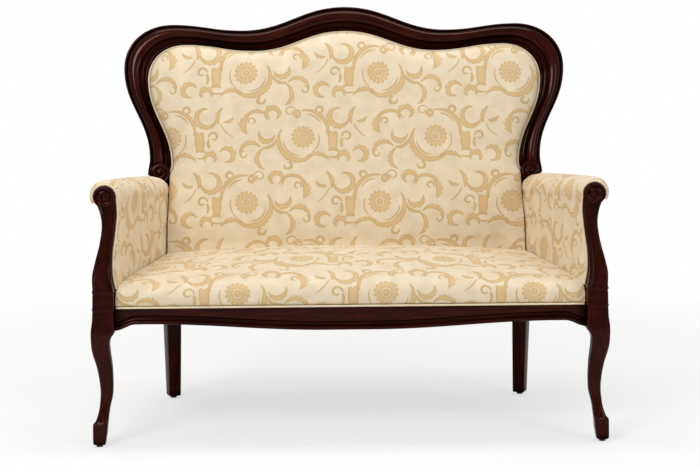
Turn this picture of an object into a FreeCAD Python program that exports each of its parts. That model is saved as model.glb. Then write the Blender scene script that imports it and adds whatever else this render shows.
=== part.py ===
import FreeCAD, Part
import math
import os

V = FreeCAD.Vector
os.makedirs("parts", exist_ok=True)

# Two-seat cabriole settee. Millimetres, seen from the front X runs right, Y runs to the back and
# Z runs up. The origin is on the floor under the middle of the sofa.

# Seat frame
seat_rail_top = 336.0
seat_rail_thickness = 28.0
apron_middle_height = 280.0
apron_shoulder_height = 298.0
apron_flat_half_length = 60.0
apron_shoulder_x = 500.0
apron_bracket_drop = 15.0
apron_bracket_length = 50.0
side_rail_bottom = 288.0
back_rail_bottom = 278.0
rail_bead_height = 10.0
rail_bead_rise = 4.0
rail_cove_height = 12.0
rail_cove_depth = 4.0
brace_height = 32.0
brace_width = 34.0
brace_below_rail_top = 2.0
corner_block_reach = 88.0
rear_block_reach = 66.0

# Front legs, measured outwards from the leg's centre in front view and again in side view. A bow
# is how far a side bends between two of these places, outwards of the leg when it is positive.
front_leg_x = 599.0
front_leg_y = -302.0
leg_block_half = 26.0
leg_block_taper = 1.5
leg_block_bow = 1.2
leg_block_above_rail = 48.0
toe_out = 31.0
toe_in = 2.2
toe_bow = 1.0
shoe_height = 56.0
shoe_step = 4.0
shoe_in = -4.8
shoe_bow = -1.5
ankle_height = 128.0
ankle_out = 13.3
ankle_in = -17.0
ankle_front_bow = -4.0
ankle_rear_bow = 2.6
calf_height = 196.0
calf_out = 20.5
calf_bow = -1.5
knee_below_rail_top = 66.0
knee_out = 31.0
knee_in = -13.5
knee_bow = 3.5
knee_rear_drop = 20.0
throat_bow = -4.0

# Glides
glide_height = 6.0
glide_radius = 8.0
glide_pin_half = 1.5
glide_pin_length = 14.0

# Rear legs
rear_foot_x = 481.0
rear_foot_y = 186.5
rear_foot_half = 16.2
rear_leg_half = 20.0
rear_leg_twist = 24.0
rear_leg_fillet = 3.0
rear_leg_top_x = 476.0
rear_block_inner_x = 452.0
rear_block_outer_x = 512.0
rear_block_depth = 40.0
post_depth = 28.0
post_top_inner_x = 481.0
post_top_outer_x = 535.0

# Back frame, drawn in front view and laid on the raked back
back_rake = 12.6
back_datum_y = 206.5
back_datum_height = 594.0
sight_depth = 20.0
crest_height = 1070.0
dip_x = 281.0
dip_height = 1006.5
ear_top_x = 474.0
ear_height = 1023.0
ear_half_width = 606.5
ear_side_height = 905.0
waist_half_width = 536.0
waist_height = 660.0
stile_foot_half_width = 541.0
stile_foot_height = 617.0
crest_moulding = 65.5
dip_moulding = 56.0
ear_top_moulding = 55.0
ear_side_moulding = 65.5
waist_moulding = 58.7
stile_foot_moulding = 53.0
dip_lead = 29.0
ear_top_lead = 34.0
ear_side_lead = 30.0
waist_lead = 16.0
stile_foot_lead = 8.0
sweep_pull = 0.42
ear_pull = 0.58
edge_thickness = 25.0
edge_bead = 8.0
edge_bead_rise = 4.0
quirk = 2.0
face_thickness = 42.0
cove_floor = 21.0
sight_bead = 9.0
sight_bead_rise = 3.5
rebate_thickness = 18.0
rebate_width = 18.0
crest_joint = 2.45

# Volutes
stile_volute_x = 508.0
stile_volute_height = 619.0
stile_volute_radius = 28.0
stile_volute_thickness = 38.0
volute_half_turns = 3
volute_ridge = 5.0
volute_relief = 2.5
volute_eye_radius = 4.5

# Arm posts. The edges in front view are (offset from the leg's centre, share of the height, bow).
post_outer_edge = ((24.0, 0.0, 0), (18.5, 0.3, 4.5), (1.0, 0.68, -3.0), (13.0, 0.94, -3.0))
post_inner_edge = ((-33.0, 0.97, 0), (-35.0, 0.82, 1.0), (-21.5, 0.39, 1.2), (-26.0, 0.0, -4.0))
post_front_bow = -4.0
post_front_bow_share = 0.6
arm_volute_x = 592.0
arm_volute_height = 608.0
arm_volute_radius = 26.5
arm_post_foot_depth = 46.0
arm_post_head_depth = 38.0
arm_post_foot_y = -326.0
arm_post_head_y = -302.0

# Arm frame
arm_rail_width = 28.0
arm_rail_height = 24.0
arm_rail_rear_x = 518.0
arm_rail_rear_height = 580.0
lower_arm_rail_bottom = 352.0
lower_arm_rail_height = 32.0
lower_arm_rail_setback = 17.0
lower_arm_rail_width = 14.0
side_rail_front_outer_x = 616.0
side_rail_rear_outer_x = 510.0
lower_back_rail_bottom = 400.0
lower_back_rail_height = 48.0

# Upholstery
seam_gap = 0.3
cloth_thickness = 1.5
welt_radius = 2.6
seat_pad_bottom = 342.4
seat_pad_front_y = -301.0
seat_pad_rear_y = 123.5
seat_pad_front_half = 570.0
seat_pad_rear_half = 485.0
seat_crown_height = 441.0
seat_side_height = 406.0
seat_front_roll_height = 371.0
seat_roll_crown = 3.0
back_pad_bottom = 404.0
back_pad_bottom_half = 483.0
back_pad_thickness = 46.0
back_pad_centre_height = 720.0
back_pad_lift = 6.4
arm_pad_front_y = -289.0
arm_pad_bottom = 384.4
arm_roll_rise = 2.0
arm_roll_front_radius = 36.0
arm_roll_rear_setout = 10.0
arm_roll_rear_radius = 42.0
arm_face_front_x = 572.0
arm_face_rear_x = 486.5
arm_face_hollow = 8.0
arm_face_hollow_share = 0.4
arm_cover_spare = 3.0
arm_slab_front = 24.0
arm_slab_rear = 10.0
panel_thickness = 2.5
panel_front_hollow = 3.5
panel_rear_hollow = 0.5
panel_top_setback = 1.0
panel_foot_setback = 2.0

# Webbing and hessian
strap_thickness = 1.7
strap_lift = 1.25
seat_strap_width = 60.0
seat_strap_pitch = 112.0
seat_strap_pairs = 4
strap_tacked_length = 16.0
strap_crossing_gap = 3.0
seat_long_straps = 3
back_strap_width = 50.0
back_strap_pitch = 160.0
hessian_thickness = 1.0

# Joints: tenons cut on the rails, dowels in the crest rail and under the arm posts
tenon_thickness = 12.0
tenon_length = 20.0
tenon_shoulder = 4.0
tenon_clearance = 0.15
dowel_radius = 4.0
dowel_length = 50.0
dowel_clearance = 0.1
crest_dowel_shares = (0.3, 0.66)
crest_dowel_aim = 30.0
post_dowel_offset = (-2.0, -3.0)
socket_end_gap = 1.0
dust_cover_thickness = 1.2

rake = math.radians(back_rake)
leg_block_top = seat_rail_top + leg_block_above_rail
leg_block_inner_x = front_leg_x - leg_block_half
leg_block_rear_y = front_leg_y + leg_block_half
rail_front_y = leg_block_rear_y - seat_rail_thickness
knee_height = seat_rail_top - knee_below_rail_top

pieces = {}
bores = []
tenons = []
fixings = {}


def back_y(height, forward):
    """Y at a level height on the plane that lies forward of the back's rear face."""
    lean = (height - back_datum_height) * math.tan(rake)
    return back_datum_y + lean - (forward - sight_depth) / math.cos(rake)


def on_back(x, height, forward):
    """Point of the front view laid on the raked back, forward square to its rear face."""
    lift = forward - sight_depth
    y = back_y(height, sight_depth) - lift * math.cos(rake)
    return V(x, y, height + lift * math.sin(rake))


def between(a, b, share):
    return a + (b - a) * share


def ease(share):
    """Runs from 0 to 1 with a level start and a level end."""
    share = min(max(share, 0.0), 1.0)
    return 0.5 - 0.5 * math.cos(math.pi * share)


def bowed(place, points):
    """Closed wire through points (u, v, bulge). The side that ends at a point bows by its bulge."""
    edges = []
    for (au, av, _), (bu, bv, bulge) in zip(points[-1:] + points[:-1], points):
        start, end = place(au, av), place(bu, bv)
        if bulge:
            run = math.hypot(bu - au, bv - av)
            aside, below = bulge * (bv - av) / run, bulge * (bu - au) / run
            middle = place((au + bu) / 2 + aside, (av + bv) / 2 - below)
            edges.append(Part.Arc(start, middle, end).toShape())
        else:
            edges.append(Part.LineSegment(start, end).toShape())
    return Part.Wire(edges)


def outline(place, start, *steps):
    """Closed wire. A step is a point for a straight side, or a pair for an arc through and to."""
    edges = []
    here = place(*start)
    for step in steps + (start,):
        if isinstance(step[0], tuple):
            to = place(*step[1])
            edges.append(Part.Arc(here, place(*step[0]), to).toShape())
        else:
            to = place(*step)
            if to.distanceToPoint(here) > 1e-6:
                edges.append(Part.LineSegment(here, to).toShape())
        here = to
    return Part.Wire(edges)


def loft(wires):
    """Solid through closed wires, straight from each one to the next."""
    return Part.makeLoft(wires, True, True)


def box_between(low, high):
    return Part.makeBox(high[0] - low[0], high[1] - low[1], high[2] - low[2], V(*low))


def rounded_rectangle(centre, half_x, half_y, radius, turn=0.0):
    """Level rectangle with rounded corners, turned about its centre in degrees."""
    spin = FreeCAD.Rotation(V(0, 0, 1), turn)

    def place(x, y):
        return centre + spin.multVec(V(x, y, 0))

    a, b, r = half_x - radius, half_y - radius, radius
    k = radius * math.sqrt(0.5)
    return outline(place, (half_x, -b), (half_x, b), ((a + k, b + k), (a, half_y)),
                   (-a, half_y), ((-a - k, b + k), (-half_x, b)),
                   (-half_x, -b), ((-a - k, -b - k), (-a, -half_y)),
                   (a, -half_y), ((a + k, -b - k), (half_x, -b)))


def ring(centre, side, up, radius):
    """Six-sided ring whose first corner keeps to the side given."""
    corners = []
    for i in range(6):
        angle = i * math.pi / 3
        corners.append(centre + side * (radius * math.cos(angle)) + up * (radius * math.sin(angle)))
    return Part.makePolygon(corners + corners[:1])


def welt(points, up, radius):
    """Round piping through a run of points that lies square to up."""
    rings = []
    for i, point in enumerate(points):
        ahead = points[min(i + 1, len(points) - 1)] - points[max(i - 1, 0)]
        side = ahead.cross(up)
        side.normalize()
        rings.append(ring(point, side, up, radius))
    return loft(rings)


def mirrored(shape):
    return shape.mirror(V(0, 0, 0), V(1, 0, 0))


def bore(solid, names, paired=True):
    """Remember a hole for the pieces named; a paired one is also cut on the other side."""
    bores.append((solid, names, paired))


def fix(group, solid, paired=True):
    """Add a fixing to its group, with its twin on the other side when it is paired."""
    fixings.setdefault(group, []).append(solid)
    if paired:
        fixings[group].append(mirrored(solid))


def dowel(group, names, at, along, length=dowel_length, paired=True):
    """Dowel half in each piece, in holes that are a little wide and a little deep."""
    along = V(along)
    along.normalize()
    fix(group, Part.makeCylinder(dowel_radius, length, at - along * (length / 2), along), paired)
    depth = length + 2 * socket_end_gap
    hole = Part.makeCylinder(dowel_radius + dowel_clearance, depth, at - along * (depth / 2), along)
    bore(hole, names, paired)


def tenon(name, into, solid, socket, paired=True):
    """Tenon that belongs to one piece, and the mortise for it in another."""
    tenons.append((name, solid, paired))
    bore(socket, [into], paired)


def box_tenon(name, into, centre, along, across, height, paired=True):
    """Square-edged tenon half in each piece; along and across are the axes of its length and thickness."""
    def block(grow, end_gap):
        long, thick, tall = tenon_length + end_gap, tenon_thickness / 2 + grow, height / 2 + grow
        reach = along * long + across * thick + V(0, 0, tall)
        low, high = centre - reach, centre + reach
        return box_between([min(a, b) for a, b in zip(low, high)], [max(a, b) for a, b in zip(low, high)])

    tenon(name, into, block(0.0, 0.0), block(tenon_clearance, socket_end_gap), paired)


def half_turn(origin, across, up, centre, start, end):
    """Half circle of a volute on its face, from one reach to the other across the eye line."""
    radius = (end - start) / 2
    middle = origin + across * centre + up * abs(radius) * (1 if radius < 0 else -1)
    return Part.Arc(origin + across * start, middle, origin + across * end).toShape()


def volute(origin, across, up, facing, radius, thickness):
    """Raised spiral ridge of half circles, and its eye, on the face of a scroll."""
    def spiral(outer_reach):
        shrink = (outer_reach - volute_eye_radius) / (volute_half_turns + 1)
        reach, edges, sign = outer_reach, [], 1
        for _ in range(volute_half_turns):
            start, end = sign * reach, -sign * (reach - shrink)
            edges.append(half_turn(origin, across, up, (start + end) / 2, start, end))
            reach, sign = reach - shrink, -sign
        return edges

    outer, inner = spiral(radius - 1.0), spiral(radius - 1.0 - volute_ridge)
    caps = [Part.LineSegment(outer[0].firstVertex(True).Point, inner[0].firstVertex(True).Point).toShape(),
            Part.LineSegment(outer[-1].lastVertex(True).Point, inner[-1].lastVertex(True).Point).toShape()]
    ridge = Part.Face(Part.Wire(Part.__sortEdges__(outer + inner + caps)))
    height = thickness + volute_relief
    eye = Part.makeCylinder(volute_eye_radius, height, origin, facing)
    return ridge.extrude(facing * height).fuse(eye)


# Front leg: a cabriole curve sawn from a square blank in front view and again in side view, so
# that the leg bends out on its diagonal at the knee, in at the ankle and out at the toe.
def leg_curve(place):
    """Outline of the leg in one view, with distances outwards from its centre."""
    shoulder = seat_rail_top - seat_rail_thickness
    throat = apron_shoulder_height - apron_bracket_drop
    return bowed(place, [(toe_in, glide_height, toe_bow), (toe_out, glide_height, 0),
                         (toe_out, shoe_height, 0), (toe_out - shoe_step, shoe_height + shoe_step / 2, 0),
                         (ankle_out, ankle_height, ankle_front_bow), (calf_out, calf_height, calf_bow),
                         (knee_out, knee_height, knee_bow),
                         (leg_block_half + leg_block_taper, shoulder, leg_block_bow),
                         (leg_block_half - leg_block_taper, leg_block_top, 0),
                         (-leg_block_half, leg_block_top, 0), (-leg_block_half, throat, 0),
                         (knee_in, knee_height - knee_rear_drop, throat_bow),
                         (ankle_in, ankle_height, ankle_rear_bow), (shoe_in, shoe_height, shoe_bow)])


def front_leg():
    room = 2 * leg_block_half
    front_view = Part.Face(leg_curve(lambda out, z: V(front_leg_x + out, front_leg_y - room, z)))
    side_view = Part.Face(leg_curve(lambda out, z: V(front_leg_x - room, front_leg_y - out, z)))
    return front_view.extrude(V(0, 2 * room, 0)).common(side_view.extrude(V(2 * room, 0, 0)))


# Front rail: straight in plan, its lower edge a shallow serpentine with a cove and a bead.
def apron_height(x):
    x = abs(x)
    rise = ease((x - apron_flat_half_length) / (apron_shoulder_x - apron_flat_half_length))
    bracket = 1 - ease((leg_block_inner_x - x) / apron_bracket_length)
    return between(apron_middle_height, apron_shoulder_height, rise) - apron_bracket_drop * bracket


def rail_section(place, low, bead=rail_bead_height, cove=rail_cove_height):
    """Rail with its face at nought, its back at the rail's thickness, beaded at the lower edge."""
    shoulder = low + bead + cove
    return outline(place, (seat_rail_thickness, seat_rail_top), (0, seat_rail_top), (0, shoulder),
                   ((rail_cove_depth, low + bead + cove * 0.5), (rail_cove_depth * 0.4, low + bead)),
                   ((-rail_bead_rise, low + bead * 0.5), (0, low)), (seat_rail_thickness, low))


def front_seat_rail():
    end = leg_block_inner_x
    stations = [0, 110, 220, 330, 430, apron_shoulder_x, end - apron_bracket_length,
                end - apron_bracket_length * 0.55, end - apron_bracket_length * 0.2, end]
    stations = [-x for x in reversed(stations[1:])] + stations
    wires = [rail_section(lambda depth, z, x=x: V(x, rail_front_y + depth, z), apron_height(x))
             for x in stations]
    return loft(wires)


# Side rail: the same section, running in from the front leg to the rear leg
def side_line(y):
    """X of the side rail's face from the back of the front leg to the face of the rear block."""
    rear_y = back_y(seat_rail_top, rear_block_depth)
    return between(side_rail_front_outer_x, side_rail_rear_outer_x,
                   (y - leg_block_rear_y) / (rear_y - leg_block_rear_y))


def along_side(front_y, rear_y):
    """Way along the side rail between two places."""
    return V(side_line(rear_y) - side_line(front_y), rear_y - front_y, 0)


def along_bar(overrun, points):
    """Straight bar along the side of the seat; points are depths from its face and heights."""
    front_y = leg_block_rear_y - overrun
    way = along_side(front_y, back_y(seat_rail_top, rear_block_depth) + overrun)
    inward = V(0, 0, 1).cross(way)
    inward.normalize()
    start = V(side_line(front_y), front_y, 0)
    return Part.Face(points(lambda depth, z: start + inward * depth + V(0, 0, z))).extrude(way)


def side_seat_rail():
    return along_bar(18.0, lambda place: rail_section(place, side_rail_bottom))


def side_tenon(y, grow, reach):
    """Tenon of the side rail about one of its shoulders, running along the rail."""
    middle = seat_rail_thickness / 2
    half = tenon_thickness / 2 + grow
    low = side_rail_bottom + rail_bead_height + tenon_shoulder - grow
    high = seat_rail_top - tenon_shoulder + grow
    corners = ((middle - half, low), (middle + half, low), (middle + half, high), (middle - half, high))
    bar = along_bar(tenon_length * 2, lambda place: outline(place, *corners))
    return bar.common(box_between((0, y - reach, 0), (2 * front_leg_x, y + reach, leg_block_top)))


def raked_bar(inner_x, outer_x, bottom, top, forward):
    """Level bar between two heights whose faces follow the rake of the back."""
    def place(x, forward_here, z):
        return V(x, back_y(z, forward_here), z)

    wires = []
    for z in (bottom, top):
        wires.append(outline(place, (inner_x, 0, z), (outer_x, 0, z), (outer_x, forward, z),
                             (inner_x, forward, z)))
    return loft(wires)


# Back frame: outer and sight lines drawn by their crests and hollows, each with a level or
# plumb tangent, and the moulding lofted between the two.
outer_keys = [(0.0, crest_height, "level"), (dip_x, dip_height, "level"),
              (ear_top_x, ear_height, "level"), (ear_half_width, ear_side_height, "plumb"),
              (waist_half_width, waist_height, "plumb"),
              (stile_foot_half_width, stile_foot_height, "plumb")]
sight_keys = [(0.0, crest_height - crest_moulding, "level"),
              (dip_x - dip_lead, dip_height - dip_moulding, "level"),
              (ear_top_x - ear_top_lead, ear_height - ear_top_moulding, "level"),
              (ear_half_width - ear_side_moulding, ear_side_height - ear_side_lead, "plumb"),
              (waist_half_width - waist_moulding, waist_height - waist_lead, "plumb"),
              (stile_foot_half_width - stile_foot_moulding, stile_foot_height - stile_foot_lead, "plumb")]


def span_poles(keys, index):
    """Ends and handles of the curve from one key to the next."""
    (ax, ah, away), (bx, bh, bway) = keys[index], keys[index + 1]
    pull = sweep_pull if away == bway else ear_pull
    first = (between(ax, bx, pull), ah) if away == "level" else (ax, between(ah, bh, pull))
    second = (between(bx, ax, pull), bh) if bway == "level" else (bx, between(bh, ah, pull))
    return (ax, ah), first, second, (bx, bh)


def key_curve(keys, at):
    """Point of a key curve: 0 is the crest's middle, each whole number the next key."""
    side = -1 if at < 0 else 1
    index = min(int(abs(at)), len(keys) - 2)
    t = abs(at) - index
    weights = ((1 - t) ** 3, 3 * t * (1 - t) ** 2, 3 * t * t * (1 - t), t ** 3)
    poles = span_poles(keys, index)
    x = sum(w * pole[0] for w, pole in zip(weights, poles))
    height = sum(w * pole[1] for w, pole in zip(weights, poles))
    return side * x, height


def sight_edges(inset, place):
    """Edges of the sight line drawn in by an inset, from the left foot over the crest to the right."""
    keys = [(x, h - inset, way) if way == "level" else (x - inset, h, way) for x, h, way in sight_keys]
    spans = [span_poles(keys, index) for index in range(len(keys) - 1)]
    runs = [[(-x, h) for x, h in reversed(span)] for span in reversed(spans)] + spans
    edges = []
    for run in runs:
        curve = Part.BezierCurve()
        curve.setPoles([place(x, h) for x, h in run])
        edges.append(curve.toShape())
    return edges


def back_station(at):
    """Outer point, width and direction across the moulding at one place along it."""
    ox, oh = key_curve(outer_keys, at)
    ix, ih = key_curve(sight_keys, at)
    width = math.hypot(ix - ox, ih - oh)
    return ox, oh, (ix - ox) / width, (ih - oh) / width, width


def back_point(at, across, forward):
    ox, oh, ax, ah, _ = back_station(at)
    return on_back(ox + ax * across, oh + ah * across, forward)


def moulding(at):
    """Section of the back frame: edge bead, broad rounded face, cove, sight bead and rebate."""
    width = back_station(at)[4]
    face = edge_bead + quirk
    cove_start = width * 0.64
    bead_start = width - sight_bead - 1
    bead_end = width - 1
    edge_top = edge_thickness + edge_bead_rise
    cove_middle = (between(cove_start, bead_start, 0.35), cove_floor + 4)
    return outline(lambda s, n: back_point(at, s, n),
                   (0, 0), (0, edge_thickness),
                   ((edge_bead / 2, edge_top), (edge_bead, edge_thickness)), (face, edge_thickness),
                   ((width * 0.36, face_thickness), (cove_start, face_thickness - 5)),
                   (cove_middle, (bead_start, cove_floor)),
                   ((bead_start + sight_bead / 2, cove_floor + sight_bead_rise), (bead_end, cove_floor)),
                   (bead_end, rebate_thickness), (width + rebate_width, rebate_thickness),
                   (width + rebate_width, 0))


def stations(start, end, steps_by_span):
    """Places along the back frame from start to end, with the steps that each span needs."""
    places = [start]
    for span, steps in enumerate(steps_by_span):
        for i in range(1, steps + 1):
            place = span + i / steps
            if start + 0.02 < place < end - 0.02:
                places.append(place)
    return places + [end]


frame_steps = (3, 3, 5, 4, 2)
crest_half = stations(0.0, crest_joint, frame_steps)
crest_places = [-place for place in reversed(crest_half[1:])] + crest_half
stile_places = stations(crest_joint, 5.0, frame_steps)
whole_half = stations(0.0, 5.0, frame_steps)
whole_places = [-place for place in reversed(whole_half[1:])] + whole_half


# Rear leg and stile: one long post. The foot stands square to the diagonal, the block takes
# the seat rails, the plain post is upholstered over, and the moulded stile rises to the ear.
def rear_leg():
    block_bottom = back_rail_bottom - 6
    block_top = seat_rail_top
    rows = [(glide_height, rear_foot_x, rear_foot_y, rear_foot_half)]
    for share in (0.35, 0.7, 1.0):
        z = between(glide_height, block_bottom + 14, share)
        y = between(rear_foot_y, back_y(block_bottom, rear_block_depth / 2), share)
        rows.append((z, between(rear_foot_x, rear_leg_top_x, share), y,
                     between(rear_foot_half, rear_leg_half + 1, share)))
    leg = loft([rounded_rectangle(V(x, y, z), half, half, rear_leg_fillet, -rear_leg_twist)
                for z, x, y, half in rows])
    block = raked_bar(rear_block_inner_x, rear_block_outer_x, block_bottom, block_top, rear_block_depth)

    def level(z, inner, outer, forward):
        return outline(lambda x, n: V(x, back_y(z, n), z), (inner, 0), (outer, 0), (outer, forward),
                       (inner, forward))

    middle = between(block_top, stile_volute_height, 0.4)
    post = loft([level(block_top - 2, rear_block_inner_x + 2, rear_block_outer_x - 2, post_depth),
                 level(middle, between(rear_block_inner_x, post_top_inner_x, 0.6),
                       between(rear_block_outer_x, post_top_outer_x, 0.35), post_depth),
                 level(stile_volute_height, post_top_inner_x, post_top_outer_x, post_depth)])
    stile = loft([moulding(place) for place in stile_places])
    facing = V(0, -math.cos(rake), math.sin(rake))
    up = V(0, math.sin(rake), math.cos(rake))
    centre = on_back(stile_volute_x, stile_volute_height, 0)
    head = Part.makeCylinder(stile_volute_radius, stile_volute_thickness, centre, facing)
    scroll = volute(centre, V(1, 0, 0), up, facing, stile_volute_radius, stile_volute_thickness)
    return leg.fuse([block, post, stile, head, scroll])


# Arm post: sawn to an S in front view and hollowed in side view, with a round head for the volute
def post_height(share):
    return between(leg_block_top, arm_volute_height, share)


def arm_post(grow=0.0):
    edge = [(front_leg_x + x + grow, post_height(share), bow) for x, share, bow in post_outer_edge]
    edge += [(front_leg_x + x - grow, post_height(share), bow) for x, share, bow in post_inner_edge]
    head_rear_y = arm_post_head_y + arm_post_head_depth
    side = [(arm_post_foot_y - grow, leg_block_top, post_front_bow),
            (arm_post_foot_y + arm_post_foot_depth + grow, leg_block_top, 0),
            (head_rear_y + grow, arm_volute_height, 0), (arm_post_head_y - grow, arm_volute_height, 0),
            (arm_post_head_y - grow, post_height(post_front_bow_share), 0)]
    front_view = Part.Face(bowed(lambda x, z: V(x, arm_post_foot_y - leg_block_half, z), edge))
    side_view = Part.Face(bowed(lambda y, z: V(front_leg_x - 2 * leg_block_half, y, z), side))
    room = 4 * leg_block_half
    shaft = front_view.extrude(V(0, room, 0)).common(side_view.extrude(V(room, 0, 0)))
    head = Part.makeCylinder(arm_volute_radius + grow, arm_post_head_depth + 2 * grow,
                             V(arm_volute_x, arm_post_head_y - grow, arm_volute_height), V(0, 1, 0))
    return shaft.fuse(head)


def arm_post_scroll():
    origin = V(arm_volute_x, arm_post_head_y + arm_post_head_depth, arm_volute_height)
    return volute(origin, V(1, 0, 0), V(0, 0, 1), V(0, -1, 0), arm_volute_radius, arm_post_head_depth)


# Arm frame: a rail inside the roll and a lower rail that the pad's edge is tacked to.
def arm_bar(front, rear, width, height, overrun):
    """Bar between two centres given as (x, height), run past both ends."""
    front_y = arm_post_head_y + arm_post_head_depth
    rear_y = back_y(rear[1], post_depth)
    slope_x = (rear[0] - front[0]) / (rear_y - front_y)
    slope_z = (rear[1] - front[1]) / (rear_y - front_y)
    wires = []
    for y in (front_y - overrun, rear_y + overrun):
        x = front[0] + slope_x * (y - front_y)
        z = front[1] + slope_z * (y - front_y)
        wires.append(outline(lambda u, w, x=x, y=y, z=z: V(x + u, y, z + w),
                             (-width / 2, -height / 2), (width / 2, -height / 2),
                             (width / 2, height / 2), (-width / 2, height / 2)))
    return loft(wires)


def arm_rail_line(y):
    """Height of the arm rail's middle at one place along it."""
    front_y = arm_post_head_y + arm_post_head_depth
    return between(arm_volute_height, arm_rail_rear_height,
                   (y - front_y) / (back_y(arm_rail_rear_height, post_depth) - front_y))


def arm_rail(grow=0.0, overrun=14.0):
    return arm_bar((arm_volute_x, arm_volute_height), (arm_rail_rear_x, arm_rail_rear_height),
                   arm_rail_width + 2 * grow, arm_rail_height + 2 * grow, overrun)


def lower_arm_rail(grow=0.0, overrun=14.0):
    middle = lower_arm_rail_bottom + lower_arm_rail_height / 2
    front_x = side_line(leg_block_rear_y) - lower_arm_rail_setback
    rear_x = side_line(back_y(middle, post_depth)) - lower_arm_rail_setback
    return arm_bar((front_x, middle), (rear_x, middle),
                   lower_arm_rail_width + 2 * grow, lower_arm_rail_height + 2 * grow, overrun)


def tenoned(bar, ends):
    """Bar scribed to its neighbours with a tenon at each end, and the socket for both."""
    whole = bar().cut(ends).fuse(bar(-tenon_shoulder, tenon_length))
    socket = bar(tenon_clearance - tenon_shoulder, tenon_length + socket_end_gap)
    return whole, socket


# Soft parts. Each pad and its cover come from one shape drawn twice, the cover grown outwards.
# A seat row is its share of the depth, of the side's rise and of the crown, and how far it is drawn in;
# a back row is its share of the thickness and the scale of its outline.
seat_rows = ((0.0, 0.0, 0.02, 3.0), (0.015, 0.26, 0.2, 1.0), (0.055, 0.42, 0.4, 0.0),
             (0.15, 0.7, 0.66, 0.0), (0.34, 0.96, 0.9, 0.0), (0.58, 1.0, 1.0, 0.0),
             (0.82, 1.0, 0.92, 0.0), (1.0, 0.88, 0.74, 1.0))
back_rows = ((0.0, 1.0), (0.55, 0.97), (0.9, 0.87), (1.0, 0.6))


def seat_half(y):
    share = (y - seat_pad_front_y) / (seat_pad_rear_y - seat_pad_front_y)
    return between(seat_pad_front_half, seat_pad_rear_half, share)


def seat_pad(grow=0.0):
    """Crowned seat with a rolled front edge, as level sections from front to back."""
    depth = seat_pad_rear_y - seat_pad_front_y
    side_rise = seat_side_height - seat_front_roll_height
    rise = seat_crown_height - seat_front_roll_height
    wires = []
    for share, side, crown, drawn in seat_rows:
        y = seat_pad_front_y + depth * share
        y = y - grow if share == 0.0 else y
        half = seat_half(y) - drawn + grow
        low = seat_front_roll_height + side_rise * side + grow
        top = seat_front_roll_height + seat_roll_crown + rise * crown + grow
        wires.append(outline(lambda x, z, y=y: V(x, y, z), (-half, seat_pad_bottom),
                             (half, seat_pad_bottom), (half, low), ((0, max(top, low + 1)), (-half, low))))
    return loft(wires)


def back_outline(inset, bottom, half, forward, scale=1.0):
    """Outline inside the sight line, with plumb sides below the volutes."""
    def place(x, height):
        return on_back(x * scale, between(back_pad_centre_height, height, scale), forward)

    edges = sight_edges(inset, place)
    corners = [edges[-1].Vertexes[-1].Point, place(half, bottom), place(-half, bottom),
               edges[0].Vertexes[0].Point]
    sides = [Part.LineSegment(a, b).toShape() for a, b in zip(corners, corners[1:])]
    return Part.Wire(edges + sides)


def back_pad(grow=0.0):
    """Crowned back cushion: the outline rises square, rolls over and domes to the middle."""
    wires = []
    for share, scale in back_rows:
        forward = rebate_thickness + back_pad_lift + back_pad_thickness * share + (grow if share else 0.0)
        wires.append(back_outline(2 * welt_radius + 1.5 - grow, back_pad_bottom - grow,
                                  back_pad_bottom_half + grow, forward, scale))
    return loft(wires)


def back_sheet(inset, bottom, half, rear, front):
    """Flat sheet laid on the back between two depths."""
    face = Part.Face(back_outline(inset, bottom, half, rear))
    return face.extrude(on_back(0, 0, front) - on_back(0, 0, rear))


def arm_line(y):
    """Middle and radius of the roll, face of the slab and slab thickness at one place."""
    share = (y - arm_pad_front_y) / (back_y(arm_rail_rear_height, post_depth) - arm_pad_front_y)
    ends = ((arm_volute_x, arm_rail_rear_x + arm_roll_rear_setout),
            (arm_volute_height + arm_roll_rise, arm_rail_rear_height),
            (arm_roll_front_radius, arm_roll_rear_radius), (arm_face_front_x, arm_face_rear_x),
            (arm_slab_front, arm_slab_rear), (arm_face_hollow, 0.0))
    return [between(front, rear, share) for front, rear in ends]


def arm_pad(grow=0.0):
    """A tapering roll over the arm rail on a slab with a hollow face."""
    front_y = arm_pad_front_y - grow
    rear_y = back_y(arm_rail_rear_height, post_depth) + rear_block_depth
    slabs, unders, axis = [], [], []
    for y in (front_y, rear_y):
        roll_x, roll_z, radius, face_x, slab, hollow = arm_line(y)
        outer = roll_x + radius + arm_cover_spare
        axis.append((V(roll_x, y, roll_z), radius + grow))
        middle = between(arm_pad_bottom, roll_z, arm_face_hollow_share)
        hollow_x = between(face_x, roll_x - radius, arm_face_hollow_share) + hollow - grow
        tuck_x = roll_x - radius + slab - grow
        rail_low = arm_rail_line(y) - arm_rail_height / 2
        slabs.append(outline(lambda x, z, y=y: V(x, y, z), (face_x - grow, arm_pad_bottom),
                             (face_x + slab - grow, arm_pad_bottom), (tuck_x, rail_low), (roll_x, roll_z),
                             (roll_x - radius - grow, roll_z), (hollow_x, middle)))
        unders.append(outline(lambda x, z, y=y: V(x, y, z), (tuck_x, rail_low - 2 * radius),
                              (outer, rail_low - 2 * radius), (outer, rail_low), (tuck_x, rail_low)))
    (front, front_radius), (rear, rear_radius) = axis
    way = rear - front
    spare = leg_block_half / way.Length
    taper = (rear_radius - front_radius) * spare
    roll = Part.makeCone(front_radius - taper, rear_radius + taper, way.Length * (1 + 2 * spare),
                         front - way * spare, way)
    trim = box_between((0, front_y, 0), (2 * front_leg_x, rear_y, crest_height))
    return roll.common(trim).cut(loft(unders)).fuse(loft(slabs))


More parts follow.
